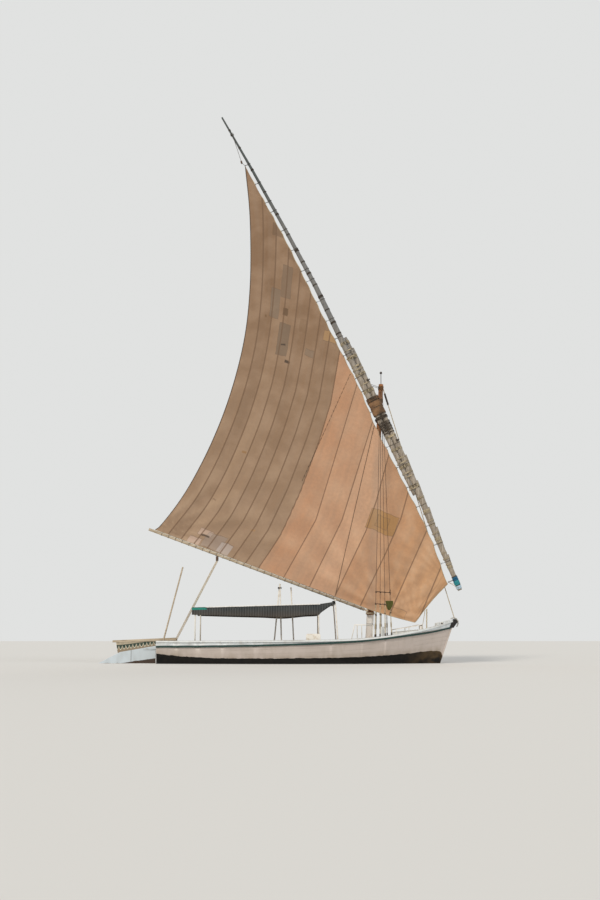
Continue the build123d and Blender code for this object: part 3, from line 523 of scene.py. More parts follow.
def rope(name, runs, radius, finish=rope_pale, body="hull", slot="rope", step=1.0):
    """A piece of one or more ropes, each a run of points; step is the spacing of the twist."""
    outline = add_object("outline", bpy.data.curves.new("outline", "CURVE"))
    line = outline.data.splines.new("POLY")
    line.points.add(PROFILE_POINTS - 1)
    for i, point in enumerate(line.points):
        turn = 2 * pi * i / PROFILE_POINTS
        reach = radius * (0.90 + 0.14 * cos(LOBES * turn))
        point.co = (reach * cos(turn), reach * sin(turn), 0, 1)
    line.use_cyclic_u = True
    data = bpy.data.curves.new(name, "CURVE")
    holder = add_object(name, data)
    data.dimensions = "3D"
    data.bevel_mode = "OBJECT"
    data.bevel_object = outline
    data.use_fill_caps = True
    for run in runs:
        spots = [Vector(p) for p in run]
        dense = [spots[0]]
        for a, b in zip(spots, spots[1:]):
            count = max(int((b - a).length / step), 1)
            dense += [a.lerp(b, (k + 1) / count) for k in range(count)]
        line = data.splines.new("POLY")
        line.points.add(len(dense) - 1)
        travelled = 0.0
        for i, point in enumerate(line.points):
            travelled += (dense[i] - dense[i - 1]).length if i else 0.0
            point.co = (*dense[i], 1)
            point.tilt = travelled / (radius * LAY) * 2 * pi
    seen = holder.evaluated_get(bpy.context.evaluated_depsgraph_get())
    mesh = bpy.data.meshes.new_from_object(seen)
    bpy.data.objects.remove(holder)
    bpy.data.objects.remove(outline)
    return put_in(name, mesh, finish, body, slot)


print("rope maker ready")

# %% [markdown]
# ## The yard's line
# The yard is two hewn poles lashed side by side. Its middle bows forward by 0.29 m. These few
# numbers are the same as in the solids, so ropes and wraps can be wound round the spars.

# %% Yard geometry
YARD_Y = -0.27
HEEL = Vector((5.22, YARD_Y, 2.455))
TIP = Vector((-3.03, YARD_Y, 19.38))
YARD_BOW = 0.29
LOWER = ((0.0, 72), (0.08, 98), (0.16, 112), (0.26, 104), (0.36, 92), (0.46, 72), (0.51, 52))
UPPER = ((0.19, 52), (0.25, 82), (0.36, 100), (0.48, 104), (0.6, 88), (0.75, 64), (0.88, 48), (1.0, 30))
JOIN_LOW = (0.08, 0.2)
JOIN_HIGH = (0.5, 0.62)
chord = TIP - HEEL
YARD_LONG = chord.length
outwards = Vector((chord.z, 0, -chord.x)).normalized()


def yard_at(share):
    return HEEL + chord * share + outwards * (4 * YARD_BOW * share * (1 - share))


def yard_way(share):
    return (yard_at(share + 0.01) - yard_at(share - 0.01)).normalized()


def yard_out(share):
    """The way square off the yard's line, towards its fore side."""
    way = yard_way(share)
    return Vector((way.z, 0, -way.x))


def on_line(points, t):
    """The value at t on the straight legs between (t, value) points."""
    for (t0, first), (t1, last) in zip(points, points[1:]):
        if t <= t1:
            break
    return first + (last - first) * (t - t0) / (t1 - t0)


def spar_radius(table, share):
    """A spar's radius in metres at a share of the yard, 0 outside its length."""
    return on_line(table, share) / 1000 if table[0][0] <= share <= table[-1][0] else 0.0


def ramp(share, limits):
    return min(max((share - limits[0]) / (limits[1] - limits[0]), 0), 1)


def yard_reach(share):
    """How far the spars reach aft and forward of the line, and sideways."""
    spans = []
    low, high = spar_radius(LOWER, share), spar_radius(UPPER, share)
    if low:
        off = ramp(share, JOIN_LOW) * (max(high, 0.06) + 0.0015)
        spans.append((off - low, off + low, low))
    if high:
        off = -(1 - ramp(share, JOIN_HIGH)) * max(low, 0.06)
        spans.append((off - high, off + high, high))
    return min(s[0] for s in spans), max(s[1] for s in spans), max(s[2] for s in spans)


def round_yard(share, turn, grow):
    """A point on the outline round both spars: turn 0 is the fore side, 90 degrees is port."""
    aft, fore, side = yard_reach(share)
    straight = max((fore - aft) / 2 - side, 0.0)
    c, s = cos(turn), sin(turn)
    reach = (side + grow) * c + copysign(straight, c) * min(abs(c) * 2.4, 1.0)
    out = yard_out(share) * ((fore + aft) / 2 + reach)
    return yard_at(share) + out + Vector((0, (side + grow) * s, 0))


print("yard length:", round(YARD_LONG, 2))

# %% [markdown]
# ## Lashings
# Each lashing is a few turns of rope wound tight round both spars. A helix that follows the
# outline of the pair gives the turns.

# %% Yard lashings
LASHINGS = (
    (0.045, 90), (0.1, 110), (0.155, 90), (0.205, 130), (0.245, 110), (0.28, 90), (0.4, 120),
    (0.435, 90), (0.47, 130), (0.5, 110), (0.545, 70), (0.6, 90), (0.65, 60), (0.7, 90),
)
EXTRA_LASHINGS = (
    (0.072, 40), (0.128, 60), (0.18, 50), (0.225, 40), (0.262, 40), (0.306, 80), (0.415, 40),
    (0.452, 50), (0.485, 40), (0.522, 50), (0.572, 40), (0.625, 40), (0.675, 40), (0.735, 40),
    (0.78, 60), (0.83, 40), (0.88, 60), (0.93, 40), (0.97, 50),
)
LASH_ROPE = 0.009
SEIZING_ROPE = 0.006
STEPS_A_TURN = 20
DARK_FROM = 0.52


def wound(share, width, radius, grow=0.0):
    """One run of rope wound round the yard over a width in metres."""
    turns = max(int(round(width / (radius * PITCH))), 2)
    count = turns * STEPS_A_TURN
    run = []
    for k in range(count + 1):
        place = share + (-width / 2 + width * k / count) / YARD_LONG
        run.append(round_yard(place, 2 * pi * k / STEPS_A_TURN, radius * 0.8 + grow))
    return run


def wound_all(table, low, high, radius):
    """Runs for the rows of a table, (share, width in mm), that lie between two shares."""
    return [wound(share, wide / 1000, radius) for share, wide in table if low <= share < high]


upper_runs = wound_all(LASHINGS, DARK_FROM, 1.0, SEIZING_ROPE) + [wound(0.960, 0.09, 0.010, 0.014)]
rope("yard_lashings_upper", upper_runs, SEIZING_ROPE, rope_dark)
lower_runs = wound_all(LASHINGS, 0.0, DARK_FROM, LASH_ROPE)
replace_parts(rope("yard_lashings_wound", lower_runs, LASH_ROPE), "yard_lashings")
for word, low, high, made_of in (("", 0.0, DARK_FROM, rope_pale), ("_upper", DARK_FROM, 1.0, rope_dark)):
    rope("yard_seizings" + word, wound_all(EXTRA_LASHINGS, low, high, SEIZING_ROPE), SEIZING_ROPE, made_of)
print("lashings:", len(LASHINGS), "and", len(EXTRA_LASHINGS))

# %% [markdown]
# ## The sail
# A lateen sail is sewn from long cotton cloths. This one is old and grey-brown in its after part,
# in eight narrow cloths that follow the leech, and newer and pinker in front, in wide cloths that
# fan up from the boom. A grid is laid over the sail's outline and bellied to port. It is left
# one cloth thick and gets its thickness from Solidify. Two attributes travel with it: the
# metres along and above the boom, and the number of the cloth.

# %% The sail's outline and its belly
HEAD = (
    (4.83, 2.72), (4.20, 4.40), (3.35, 6.18), (2.45, 8.02), (1.83, 9.53), (0.70, 11.83),
    (-0.70, 14.76), (-2.18, 17.55),
)
LEECH = (
    (-5.18, 4.51), (-4.0, 6.12), (-2.94, 8.41), (-2.25, 10.85), (-1.99, 13.08), (-2.0, 15.6),
    (-2.18, 17.55),
)
TACK, PEAK, CLEW = HEAD[0], HEAD[-1], LEECH[0]
FOOT_TIP = (3.66, 1.37)
BOOM_FORE = Vector((2.05, YARD_Y, 1.768))
BOOM_AFT = Vector((-5.39, YARD_Y, 4.527))
BOOM_LINE = (BOOM_FORE.xz, BOOM_AFT.xz)
boom_way = (BOOM_AFT - BOOM_FORE).normalized()
boom_up = Vector((boom_way.z, 0, -boom_way.x))
FOOT_RISE = 0.062
PANELS = (
    (TACK, PEAK, 0.004, 0.085), (TACK, PEAK, 0.070, 0.040),
    (*BOOM_LINE, 0.0, 0.075), (*BOOM_LINE, 0.060, 0.035),
    (CLEW, PEAK, 0.060, 0.050), (CLEW, PEAK, 0.215, 0.002),
)
SAIL_MIDDLE = Vector((0, 8.0))
SOFTNESS = 0.03
LEG_PARTS = 8


def from_edge(start, end, x, z):
    """Distance of a side-view point inwards from an edge of the sail."""
    edge = (Vector(end) - Vector(start)).normalized()
    inwards = Vector((edge.y, -edge.x))
    if inwards.dot(SAIL_MIDDLE - Vector(start)) < 0:
        inwards = -inwards
    return inwards.dot(Vector((x, z)) - Vector(start))


def belly(x, z):
    """How far the cloth stands to port of the yard's plane, rounded where panels meet."""
    depths = [depth + rise * from_edge(a, b, x, z) for a, b, depth, rise in PANELS]
    low = min(depths)
    return low - SOFTNESS * log(sum(exp((low - d) / SOFTNESS) for d in depths)) * 0.5


def by_boom(x, z):
    """A side-view point as metres aft along the boom's line and metres above it."""
    away = Vector((x, YARD_Y, z)) - BOOM_FORE
    return away.dot(boom_way), away.dot(boom_up)


def smooth_edge(points):
    """A Catmull-Rom curve through side-view points, so the edge has no corners."""
    spots = [Vector(p) for p in points]
    spots = [spots[0] * 2 - spots[1]] + spots + [spots[-1] * 2 - spots[-2]]
    line = []
    for p0, p1, p2, p3 in zip(spots, spots[1:], spots[2:], spots[3:]):
        for k in range(LEG_PARTS):
            t = k / LEG_PARTS
            line.append(0.5 * (2 * p1 + (p2 - p0) * t + (2 * p0 - 5 * p1 + 4 * p2 - p3) * t**2
                               + (3 * p1 - p0 - 3 * p2 + p3) * t**3))
    return line + [spots[-2]]


def at_height(by_height, height):
    """The point of a side-view edge at a height above the boom's line."""
    return on_line(by_height, min(max(height, by_height[0][0]), by_height[-1][0]))


head_line = smooth_edge(HEAD)
head_by_height, leech_by_height = (
    [(by_boom(*p)[1], p) for p in line] for line in (head_line, smooth_edge(LEECH))
)
tack_height, tip_height, clew_height, peak_height = (by_boom(*p)[1] for p in (TACK, FOOT_TIP, CLEW, PEAK))
print("sail: tack", round(tack_height, 2), "peak", round(peak_height, 2), "above the boom's line")

# %% [markdown]
# The head is tied to the yard every 0.7 m, so between the ties its edge hollows by a few
# centimetres. Folds run from the tack and the clew, where the pull is, and small puckers sit
# along the foot between the lashings.

# %% Sail points
ROBAND_STEP = 0.70
HOLLOW = 0.045
head_run = [0.0]
for a, b in zip(head_line, head_line[1:]):
    head_run.append(head_run[-1] + (b - a).length)
HEAD_LONG = head_run[-1]
ROBANDS = int(HEAD_LONG / ROBAND_STEP)


def head_travel(point):
    """Metres along the head from the tack, for a point on it."""
    best = min(range(len(head_line)), key=lambda i: (head_line[i] - point).length)
    way = head_line[min(best + 1, len(head_line) - 1)] - head_line[max(best - 1, 0)]
    return head_run[best] + (point - head_line[best]).dot(way.normalized())


def fold(x, z, corner, twist, count, depth, reach):
    """Folds that fan out from a corner of the sail and fade away from it."""
    away = Vector((x - corner[0], z - corner[1]))
    turn = atan2(away.y, away.x)
    wobble = 1.3 * noise.noise((x * 0.35, z * 0.35, 2))
    wave = sin(turn * count + twist * sin(3.1 * turn) + wobble)
    return depth * wave * min(away.length / 0.5, 1.0) * exp(-((away.length / reach) ** 1.6))


FOLD_DEPTH = 0.024
FOLD_FANS = (
    (TACK, 1.0, 26, 0.55, 2.6), (CLEW, 1.4, 22, 0.9, 3.6),
    (FOOT_TIP, 0.7, 23, 0.75, 3.0), ((2.6, 1.7), 0.5, 19, 0.7, 5.5),
)


def folds(x, z):
    """Folds from the tack, the clew and the foot's tip, and long ones from the mast's foot."""
    return FOLD_DEPTH * sum(fold(x, z, *fan) for fan in FOLD_FANS)


def cloth_depth(x, z):
    """Where the cloth lies across the boat at a side-view point, with its folds and puckers."""
    y = YARD_Y + belly(x, z) + folds(x, z)
    along, above = by_boom(x, z)
    if along > 0:
        y += 0.014 * sin(along * 2 * pi / 0.25) * exp(-above / 0.35)
    return y + 0.030 * noise.noise((x * 0.55, z * 0.4, 7.0)) * min(max(above, 0) / 0.8, 1)


def sail_point(u, v):
    """The sail at u, from its fore edge to its leech, and v, from its foot to its peak."""
    fore_height = tip_height + (peak_height - tip_height) * v
    if fore_height < tack_height:
        share = (fore_height - tip_height) / (tack_height - tip_height)
        fore = Vector(FOOT_TIP).lerp(Vector(TACK), share)
        fore.x -= 0.10 * sin(pi * share)
        hollow = 0.0
    else:
        fore = at_height(head_by_height, fore_height)
        phase = head_travel(fore) / (HEAD_LONG / ROBANDS)
        hollow = HOLLOW * abs(sin(pi * phase)) ** 0.8
    aft = at_height(leech_by_height, clew_height + (peak_height - clew_height) * v)
    spot = fore.lerp(aft, u)
    spot += (aft - fore).normalized() * hollow * max(1 - u * 9, 0) ** 2
    rest_above = FOOT_RISE + (tip_height - FOOT_RISE) * max(1 - u / 0.17, 0) ** 1.4
    lift = (rest_above - by_boom(*spot)[1]) * (1 - v) ** 24
    x, z = spot.x + boom_up.x * lift, spot.y + boom_up.z * lift
    return Vector((x, cloth_depth(x, z) + hollow * 0.35 * max(1 - u * 14, 0), z))


ROWS_LOW = 18
ROWS_HIGH = ROBANDS * 6
COLUMNS = 84
v_tack = (tack_height - tip_height) / (peak_height - tip_height)
row_values = [v_tack * k / ROWS_LOW for k in range(ROWS_LOW)]
row_values += [v_tack + (1 - v_tack) * 0.9985 * k / ROWS_HIGH for k in range(ROWS_HIGH + 1)]
column_values = [(i / COLUMNS) ** 1.15 for i in range(COLUMNS + 1)]
ROWS = len(row_values) - 1
built = cloth_grid(
    COLUMNS, ROWS, lambda s, t: sail_point(column_values[round(s * COLUMNS)], row_values[round(t * ROWS)])
)
uv_layer = built.loops.layers.uv.new("sewn")
cloth_number = built.verts.layers.float.new("cloth_number")
crease = built.verts.layers.float.new("crease")
print("sail grid:", len(built.verts), "points,", ROBANDS, "ties along the head")

# %% [markdown]
# Each seam of the real sail was measured as a line of (metres along, metres above) the boom.
# A point's cloth number is how many seams lie in front of it, with the share to the next one,
# so the shader can draw every seam where this number is whole.

# %% Seams and cloth numbers
SEAMS = (
    ((-1.79, 0.98), (-1.87, 2.32)),
    ((-0.80, 0.61), (-0.99, 3.19)),
    ((0.22, 0.52), (0.05, 2.14), (-0.03, 3.35), (0.04, 4.20)),
    ((1.17, 0.24), (0.95, 2.55), (0.97, 3.67), (1.07, 4.82)),
    ((2.11, 0.04), (1.85, 2.61), (2.02, 6.04)),
    ((3.05, 0.0), (2.69, 2.30), (2.98, 7.12)),
    ((3.97, 0.0), (3.65, 1.40), (3.54, 3.02), (3.54, 4.92), (3.62, 6.31), (3.96, 8.13)),
)
OLD_CLOTHS = 8
FRONT_CLOTH = 1.0


def number_at(x, z):
    along, above = by_boom(x, z)
    places = [on_line([(h, a) for a, h in seam], above) for seam in SEAMS]
    leech = by_boom(*at_height(leech_by_height, above))[0]
    if along >= places[-1]:
        return len(SEAMS) + OLD_CLOTHS * (along - places[-1]) / max(leech - places[-1], 0.2)
    for k in range(len(places) - 1, 0, -1):
        if along >= places[k - 1]:
            return k + (along - places[k - 1]) / max(places[k] - places[k - 1], 0.05)
    return 1 - (places[0] - along) / FRONT_CLOTH


for vert in built.verts:
    vert[cloth_number] = number_at(vert.co.x, vert.co.z)
    vert[crease] = -folds(vert.co.x, vert.co.z) / FOLD_DEPTH
for face in built.faces:
    for corner in face.loops:
        corner[uv_layer].uv = by_boom(corner.vert.co.x, corner.vert.co.z)
sail_area = sum(f.calc_area() for f in built.faces)
print("sail area:", round(sail_area, 1), "square metres")

# %% [markdown]
# ## Sailcloth
# Unbleached cotton canvas, hand sewn. It is matt, with a dull sheen; its folds carry painted shade
# in their valleys and a painted highlight on their ridges. The old cloths have gone grey-brown and
# hold dirt in streaks along their length; the new ones are pinker, with a painted golden glow of
# light towards the front. Each seam is a dark line. Patches are lighter, ochre or grey. Dark lines
# that fan up from the tack are painted shade of pleats, and a grey band down the mast's line is the
# mast's painted shadow. The weave itself is half a millimetre and too fine to see, so it is drawn
# at 8 mm.

# %% Sail finish
BOOM_PATCHES = (
    (0.02, 1.02, 2.66, 3.36, "#A37B47", 0.75), (0.30, 0.72, 2.80, 3.20, "#8F6B3C", 0.30),
    (-1.3, -0.4, 0.0, 0.42, "#BA8A58", 0.25),
)
CLOTH_MARKS = (
    (11.6, 12.4, 9.3, 10.4, "#6E5F50", 0.50), (12.45, 13.2, 8.5, 9.5, "#75695B", 0.55),
    (11.3, 12.25, 7.3, 8.4, "#695C4E", 0.60), (9.1, 9.8, 7.6, 7.85, "#7D6F60", 0.50),
    (7.4, 8.5, 8.3, 8.7, "#AD8A5F", 0.60), (11.7, 12.6, 0.04, 0.30, "#C3AA9B", 0.65),
    (11.3, 12.3, 0.45, 0.70, "#C0A797", 0.60),
    (10.15, 11.6, 0.10, 0.66, "#968A82", 0.50), (9.45, 10.4, 0.09, 0.46, "#B3A8A2", 0.65),
)
STAINS = (
    (12.2, 13.3, 11.25, 11.75, "#5A4634", 0.45), (11.4, 12.0, 10.6, 10.9, "#5A4634", 0.30),
    (1.95, 3.0, 5.9, 7.0, "#BB8A50", 0.35), (9.9, 10.6, 8.3, 8.8, "#6C5236", 0.25),
    (11.65, 12.1, 8.65, 8.95, "#5C4630", 0.75), (13.4, 13.55, 8.4, 8.5, "#6B4F30", 0.75),
    (11.5, 11.95, 7.66, 7.74, "#3B3129", 0.85), (10.9, 11.35, 7.07, 7.20, "#3B3129", 0.85),
    (12.1, 12.5, 3.6, 3.7, "#8A6331", 0.60), (12.6, 12.9, 1.7, 1.78, "#6E5843", 0.55),
    (8.75, 9.1, 1.14, 1.24, "#A47B4E", 0.50), (11.35, 12.05, 0.42, 0.51, "#33291F", 0.85),
)
SEWN_EDGE, SOFT_EDGE = 0.004, 0.03
sail_finish, surface, place = new_finish("cotton_canvas", 0.92, Sheen_Weight=0.15)
sewn = add_node(surface, "UVMap", uv_map="sewn").outputs[0]
along, above, _ = split(sewn)
number = add_node(surface, "Attribute", attribute_name="cloth_number").outputs["Fac"]
tone = grey_by_number(number)
old = spread(number, 6.99, 7.01)
# Towards the front the new cloths turn golden: a painted glow of light through the cloth.
new_cloth_and_glow = mix(spread(number, 4.5, 0.5, 0.45), mix(tone, "#C69B7B", "#B78A69"), "#C69457")
old_tone = mix(spread(above, 2.0, 10.0, 0.62), mix(tone, "#A2866B", "#896F57"), "#755639")
colour = mix(old, new_cloth_and_glow, old_tone)
streak_place = add_node(number, "CombineXYZ", {0: times(number, 6.0), 1: above}).outputs[0]
streaks = grey_noise(streak_place, 0.55, 5.0, (1, 0.5, 1), 0.38, 0.68)
mottle = grey_noise(sewn, 1.3, 6.0, (1, 1, 1), 0.40, 0.66)
fine = grey_noise(sewn, 9.0, 5.0)
colour = tint(colour, streaks, 0.28, "#8C7763")
colour = tint(colour, mottle, 0.20, "#CDB196")
colour = tint(colour, fine, 0.16, "#86715E")
wander = times(minus(grey_noise(sewn, 2.2, 3.0), 0.5), 0.06)


def window(low, high, value):
    """Depth inside two limits, less than 0 beyond them; the edges wander like hand sewing."""
    return minus((high - low) / 2, apart(plus(value, wander), (low + high) / 2))


stitched = 0.0
for table, sideways, thread in (
    (BOOM_PATCHES, along, 0.010), (CLOTH_MARKS, number, 0.012), (STAINS, number, 0.0),
):
    for low_a, high_a, low_h, high_h, paint, strength in table:
        depth = sums("MINIMUM", window(low_a, high_a, sideways), window(low_h, high_h, above))
        inside = spread(depth, 0.0, SEWN_EDGE if thread else SOFT_EDGE)
        colour = tint(colour, inside, strength, paint)
        if thread:
            stitched = sums("MAXIMUM", stitched, less(sums("ABSOLUTE", depth), thread))

crease = add_node(surface, "Attribute", attribute_name="crease").outputs["Fac"]
# Painted shade in the valleys of the folds and a painted highlight on their ridges.
colour = mix(spread(crease, 0.3, -1.0, 0.17), colour, "#6B5140")
colour = mix(spread(crease, 0.2, 1.0, 0.12), colour, "#E0C3A4")
# A grey band down the mast's line, below about 8 m, is the mast's painted shadow on the cloth.
MAST_RAKE, MAST_AT_WATER = 0.0555, 2.085
ship_x, _, ship_z = split(place)
mast_line = plus(times(ship_z, MAST_RAKE), MAST_AT_WATER)
mast_shadow = times(spread(apart(ship_x, mast_line), 0.22, 0.08), spread(ship_z, 7.9, 7.0))
colour = tint(colour, mast_shadow, 0.22, "#8E8378")

# Dark lines that fan out from the tack are painted shade of pleats.
TACK_FAN = (3.0, 0.75)
FAN_TURN = 0.84
PLEATS_IN_TURN = 90.0
fan_x = minus(ship_x, TACK_FAN[0])
turn = plus(sums("ARCTAN2", minus(ship_z, TACK_FAN[1]), fan_x), times(wander, 0.4))
pleat_shade = spread(sums("SINE", times(turn, PLEATS_IN_TURN)), 0.3, 1.0)
pleat_shade = times(pleat_shade, spread(apart(turn, FAN_TURN), 0.14, 0.07))
pleat_shade = times(times(pleat_shade, spread(fan_x, 0.65, 0.85)), spread(fan_x, 1.9, 1.3))
colour = tint(colour, pleat_shade, 0.34, "#79563A")

SEAM_NEW, SEAM_OLD = 0.022, 0.052
across = apart(sums("FRACT", plus(number, 0.5)), 0.5)
seam = less(across, spread(old, 0, 1, SEAM_OLD, SEAM_NEW))
colour = tint(colour, seam, 0.70, "#6D543F")
colour = tint(colour, stitched, 0.45, "#6B5848")
weave = add_node(sewn, "TexWave", {0: sewn, "Scale": 40.0, "Distortion": 0.4}).outputs[1]
relief = plus(plus(seam, times(weave, 0.12)), times(stitched, 0.5))
coat(surface, colour, plus(relief, times(fine, 0.3)), 0.004, 0.7)

# %% Sail piece and its bolt ropes
BOLT_ROPE, LEECH_ROPE = 0.011, 0.012
BLEND_START = Vector((TACK[0], YARD_Y, TACK[1]))


def bend_with_sail(piece):
    """Bakes the piece's placement into its mesh."""
    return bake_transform(piece)


sail = new_piece("lateen_sail", built, sail_finish, "sail_cloth", None, 180)
thicken(sail)
bend_with_sail(sail)
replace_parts(sail, "sail_fore", "sail_aft")
head_rope = [sail_point(0, v) for v in row_values[ROWS_LOW:]]
leech_rope = [sail_point(1, v) for v in row_values[::3]]
foot_rope = [sail_point(u, 0) for u in column_values]
luff_rope = [sail_point(0, v) for v in row_values[: ROWS_LOW + 1]]
for name, runs, radius, made_of in (
    ("sail_bolt_ropes", [head_rope, foot_rope, luff_rope], BOLT_ROPE, rope_pale),
    ("sail_leech_rope", [leech_rope], LEECH_ROPE, rope_dark),
):
    bend_with_sail(rope(name, runs, radius, made_of, None, step=radius * 3.0))
print("sail ready")

# %% [markdown]
# ## Ties between sail and spars
# A short rope runs from each eyelet in the head round both spars and back. Along the boom the
# foot is laced with a tie every quarter of a metre round the boom and a dark foot rope above it.

# %% Robands along the yard
def share_opposite(point):
    """The share of the yard that lies square across from a point of the sail's head."""
    low, high = 0.0, 1.0
    for _ in range(30):
        middle = (low + high) / 2
        ahead = (point - yard_at(middle)).dot(yard_way(min(max(middle, 0.02), 0.98)))
        low, high = (middle, high) if ahead > 0 else (low, middle)
    return (low + high) / 2


roband_runs = []
for k in range(ROBANDS + 1):
    travel = HEAD_LONG * k / ROBANDS
    i = min(range(len(head_run)), key=lambda n: abs(head_run[n] - travel))
    x, z = head_line[i]
    eyelet = Vector((x, YARD_Y + belly(x, z), z))
    share = min(max(share_opposite(eyelet), 0.012), 0.985)
    eyelet -= (yard_at(share) - eyelet).normalized() * 0.02
    loop = [round_yard(share, radians(a), 0.012) for a in range(-125, 126, 25)]
    roband_runs.append([eyelet] + loop + [eyelet + Vector((0, 0, 0.03))])
rope("robands", roband_runs, 0.008, rope_dark)
print("robands:", len(roband_runs))

# %% Lacing along the boom
BOOM_R = 0.046
LACE_STEP = 0.25
LACE_PART = 24
boom_long = (BOOM_AFT - BOOM_FORE).length
lace_runs = []
for k in range(int((boom_long - 0.3) / LACE_STEP)):
    middle = BOOM_FORE + boom_way * (0.22 + LACE_STEP * k)
    ring = []
    for turn in range(LACE_PART * 3 // 2 + 1):
        angle = 2 * pi * turn / LACE_PART
        around = boom_up * cos(angle) + Vector((0, sin(angle), 0))
        reach = BOOM_R + 0.005 + 0.014 * max(cos(angle), 0) ** 3
        ring.append(middle + boom_way * (0.022 * (turn / LACE_PART - 1)) + around * reach)
    lace_runs.append(ring)
rope("boom_lacing", lace_runs, 0.006, rope_dark, "boom_rig")
foot_line = [
    BOOM_FORE + boom_way * (0.1 + LACE_STEP * k) + boom_up * (BOOM_R + 0.012 + 0.005 * (k % 2))
    for k in range(int(boom_long / LACE_STEP))
]
rope("foot_rope", [foot_line], 0.008, rope_dark, "boom_rig", step=0.05)
print("laces:", len(lace_runs))

# %% [markdown]
# ## Standing rigging
# Four stays a side run from the masthead to the rail. Each ends a metre above the rail, and a
# lanyard of thin rope in three parts ties it down to an iron heart on the hull. One stay runs
# forward to the stem. The starboard ones bend over the outside of the yard.

# %% Shapes that many fittings share
def add_box(built, middle, size, turn=None, edge=0.0):
    """A box with its edges rounded if asked."""
    place = Matrix.Translation(middle) @ (turn or Matrix()).to_4x4() @ Matrix.Diagonal((*size, 1))
    corners = bmesh.ops.create_cube(built, size=1.0, matrix=place)["verts"]
    if edge:
        rims = list({e for v in corners for e in v.link_edges})
        bmesh.ops.bevel(
            built, geom=rims, offset=edge, segments=2, profile=0.5, affect="EDGES", material=-1
        )


def facing(start, end):
    """The turn that points +Z from one place to another."""
    return (Vector(end) - Vector(start)).to_track_quat("Z", "Y").to_matrix()


def add_rod(built, start, end, first, last, sides=14):
    """A round rod that tapers from one radius to another."""
    middle = (Vector(start) + Vector(end)) / 2
    bmesh.ops.create_cone(
        built, cap_ends=True, segments=sides, radius1=first, radius2=last,
        depth=(Vector(end) - Vector(start)).length,
        matrix=Matrix.Translation(middle) @ facing(start, end).to_4x4(),
    )


COIL_STEPS = 18


def coil(middle, way, reach, width, radius):
    """A helix of rope turns round a straight line."""
    turn = facing(Vector(), way)
    count = max(int(round(width / (radius * PITCH))), 1) * COIL_STEPS
    spots = []
    for k in range(count + 1):
        angle = 2 * pi * k / COIL_STEPS
        spot = Vector((reach * cos(angle), reach * sin(angle), width * (k / count - 0.5)))
        spots.append(Vector(middle) + turn @ spot)
    return spots


# %% Stays, hearts and lanyards
SIDES = (("port", 1), ("starboard", -1))
STAY_FEET = ((2.26, 1.194, 0.872), (2.43, 1.150, 0.890), (2.61, 1.104, 0.912), (2.82, 1.035, 0.940))
STAY_HEAD_LOW, BEND_LOW = 9.36, 9.07
HEART_UP = (0.07, 1.00)
HEART_R = 0.024
LANYARD_R = 0.006
MAST_AXIS = ((-0.3, 2.068, 0.130), (9.64, 2.620, 0.080))


def mast_at(z):
    """The mast's axis and radius at a height."""
    (z0, x0, r0), (z1, x1, r1) = MAST_AXIS
    share = (z - z0) / (z1 - z0)
    return x0 + (x1 - x0) * share, r0 + (r1 - r0) * share


def stay_route(i, side):
    """One side stay from masthead to rail; a starboard one bends over the yard."""
    z = STAY_HEAD_LOW + 0.04 * i
    x, radius = mast_at(z)
    off = 0.028 * (i - 1.5)
    head = Vector((x + off, side * (sqrt(radius**2 - off**2) - 0.006), z))
    foot = Vector((STAY_FEET[i][0], side * STAY_FEET[i][1], STAY_FEET[i][2]))
    over = [] if side > 0 else [Vector((head.x - 0.01, YARD_Y - 0.17, BEND_LOW + 0.04 * i))]
    return [head] + over + [foot]


for word, side in SIDES:
    stay_runs, lanyard_runs, seizing_runs = [], [], []
    built = bmesh.new()
    for i in range(len(STAY_FEET)):
        route = stay_route(i, side)
        foot = route[-1]
        up = (route[-2] - foot).normalized()
        low, high = foot + up * HEART_UP[0], foot + up * HEART_UP[1]
        stay_runs.append(route[:-1] + [high])
        stay_runs.append([foot, low])
        for k in range(3):
            shift = Vector((0.012 * (k - 1), 0, 0))
            lanyard_runs.append([low + shift, high + shift])
        lanyard_runs.append(coil(foot.lerp(high, 0.35), up, 0.020, 0.16, LANYARD_R))
        lanyard_runs.append(coil(high + up * 0.05, up, 0.016, 0.10, LANYARD_R))
        seizing_runs.append(coil(foot.lerp(high, 0.75), up, 0.019, 0.04, LANYARD_R))
        half = Vector((0, 0.016, 0))
        add_rod(built, low - half, low + half, HEART_R, HEART_R, 20)
        add_box(built, foot + up * 0.03, (0.042, 0.026, 0.06), edge=0.006)
    new_piece("hearts_" + word, built, iron, "iron")
    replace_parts(rope("stays_" + word, stay_runs, 0.009, rope_dark, step=0.05), "side_stays_" + word)
    rope("lanyards_" + word, lanyard_runs, LANYARD_R, rope_pale, step=0.03)
    rope("stay_seizings_" + word, seizing_runs, LANYARD_R, rope_dark)

STEM_HOLD = Vector((5.049, 0, 1.49))
FORESTAY_TOP = 9.54
stay_head = Vector((mast_at(FORESTAY_TOP)[0] + 0.06, 0, FORESTAY_TOP))
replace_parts(rope("forestay_rope", [[stay_head, STEM_HOLD]], 0.018, step=0.06), "forestay")
stay_down = (STEM_HOLD - stay_head).normalized()
service = coil(stay_head + stay_down * 0.45, stay_down, 0.027, 0.42, 0.008)
rope("forestay_service", [service], 0.008, rope_dark)

# %% [markdown]
# Two sticks are lashed across the starboard stays to keep them apart, and a scrap of olive cloth
# hangs at the fore end of the lower one to show the wind.

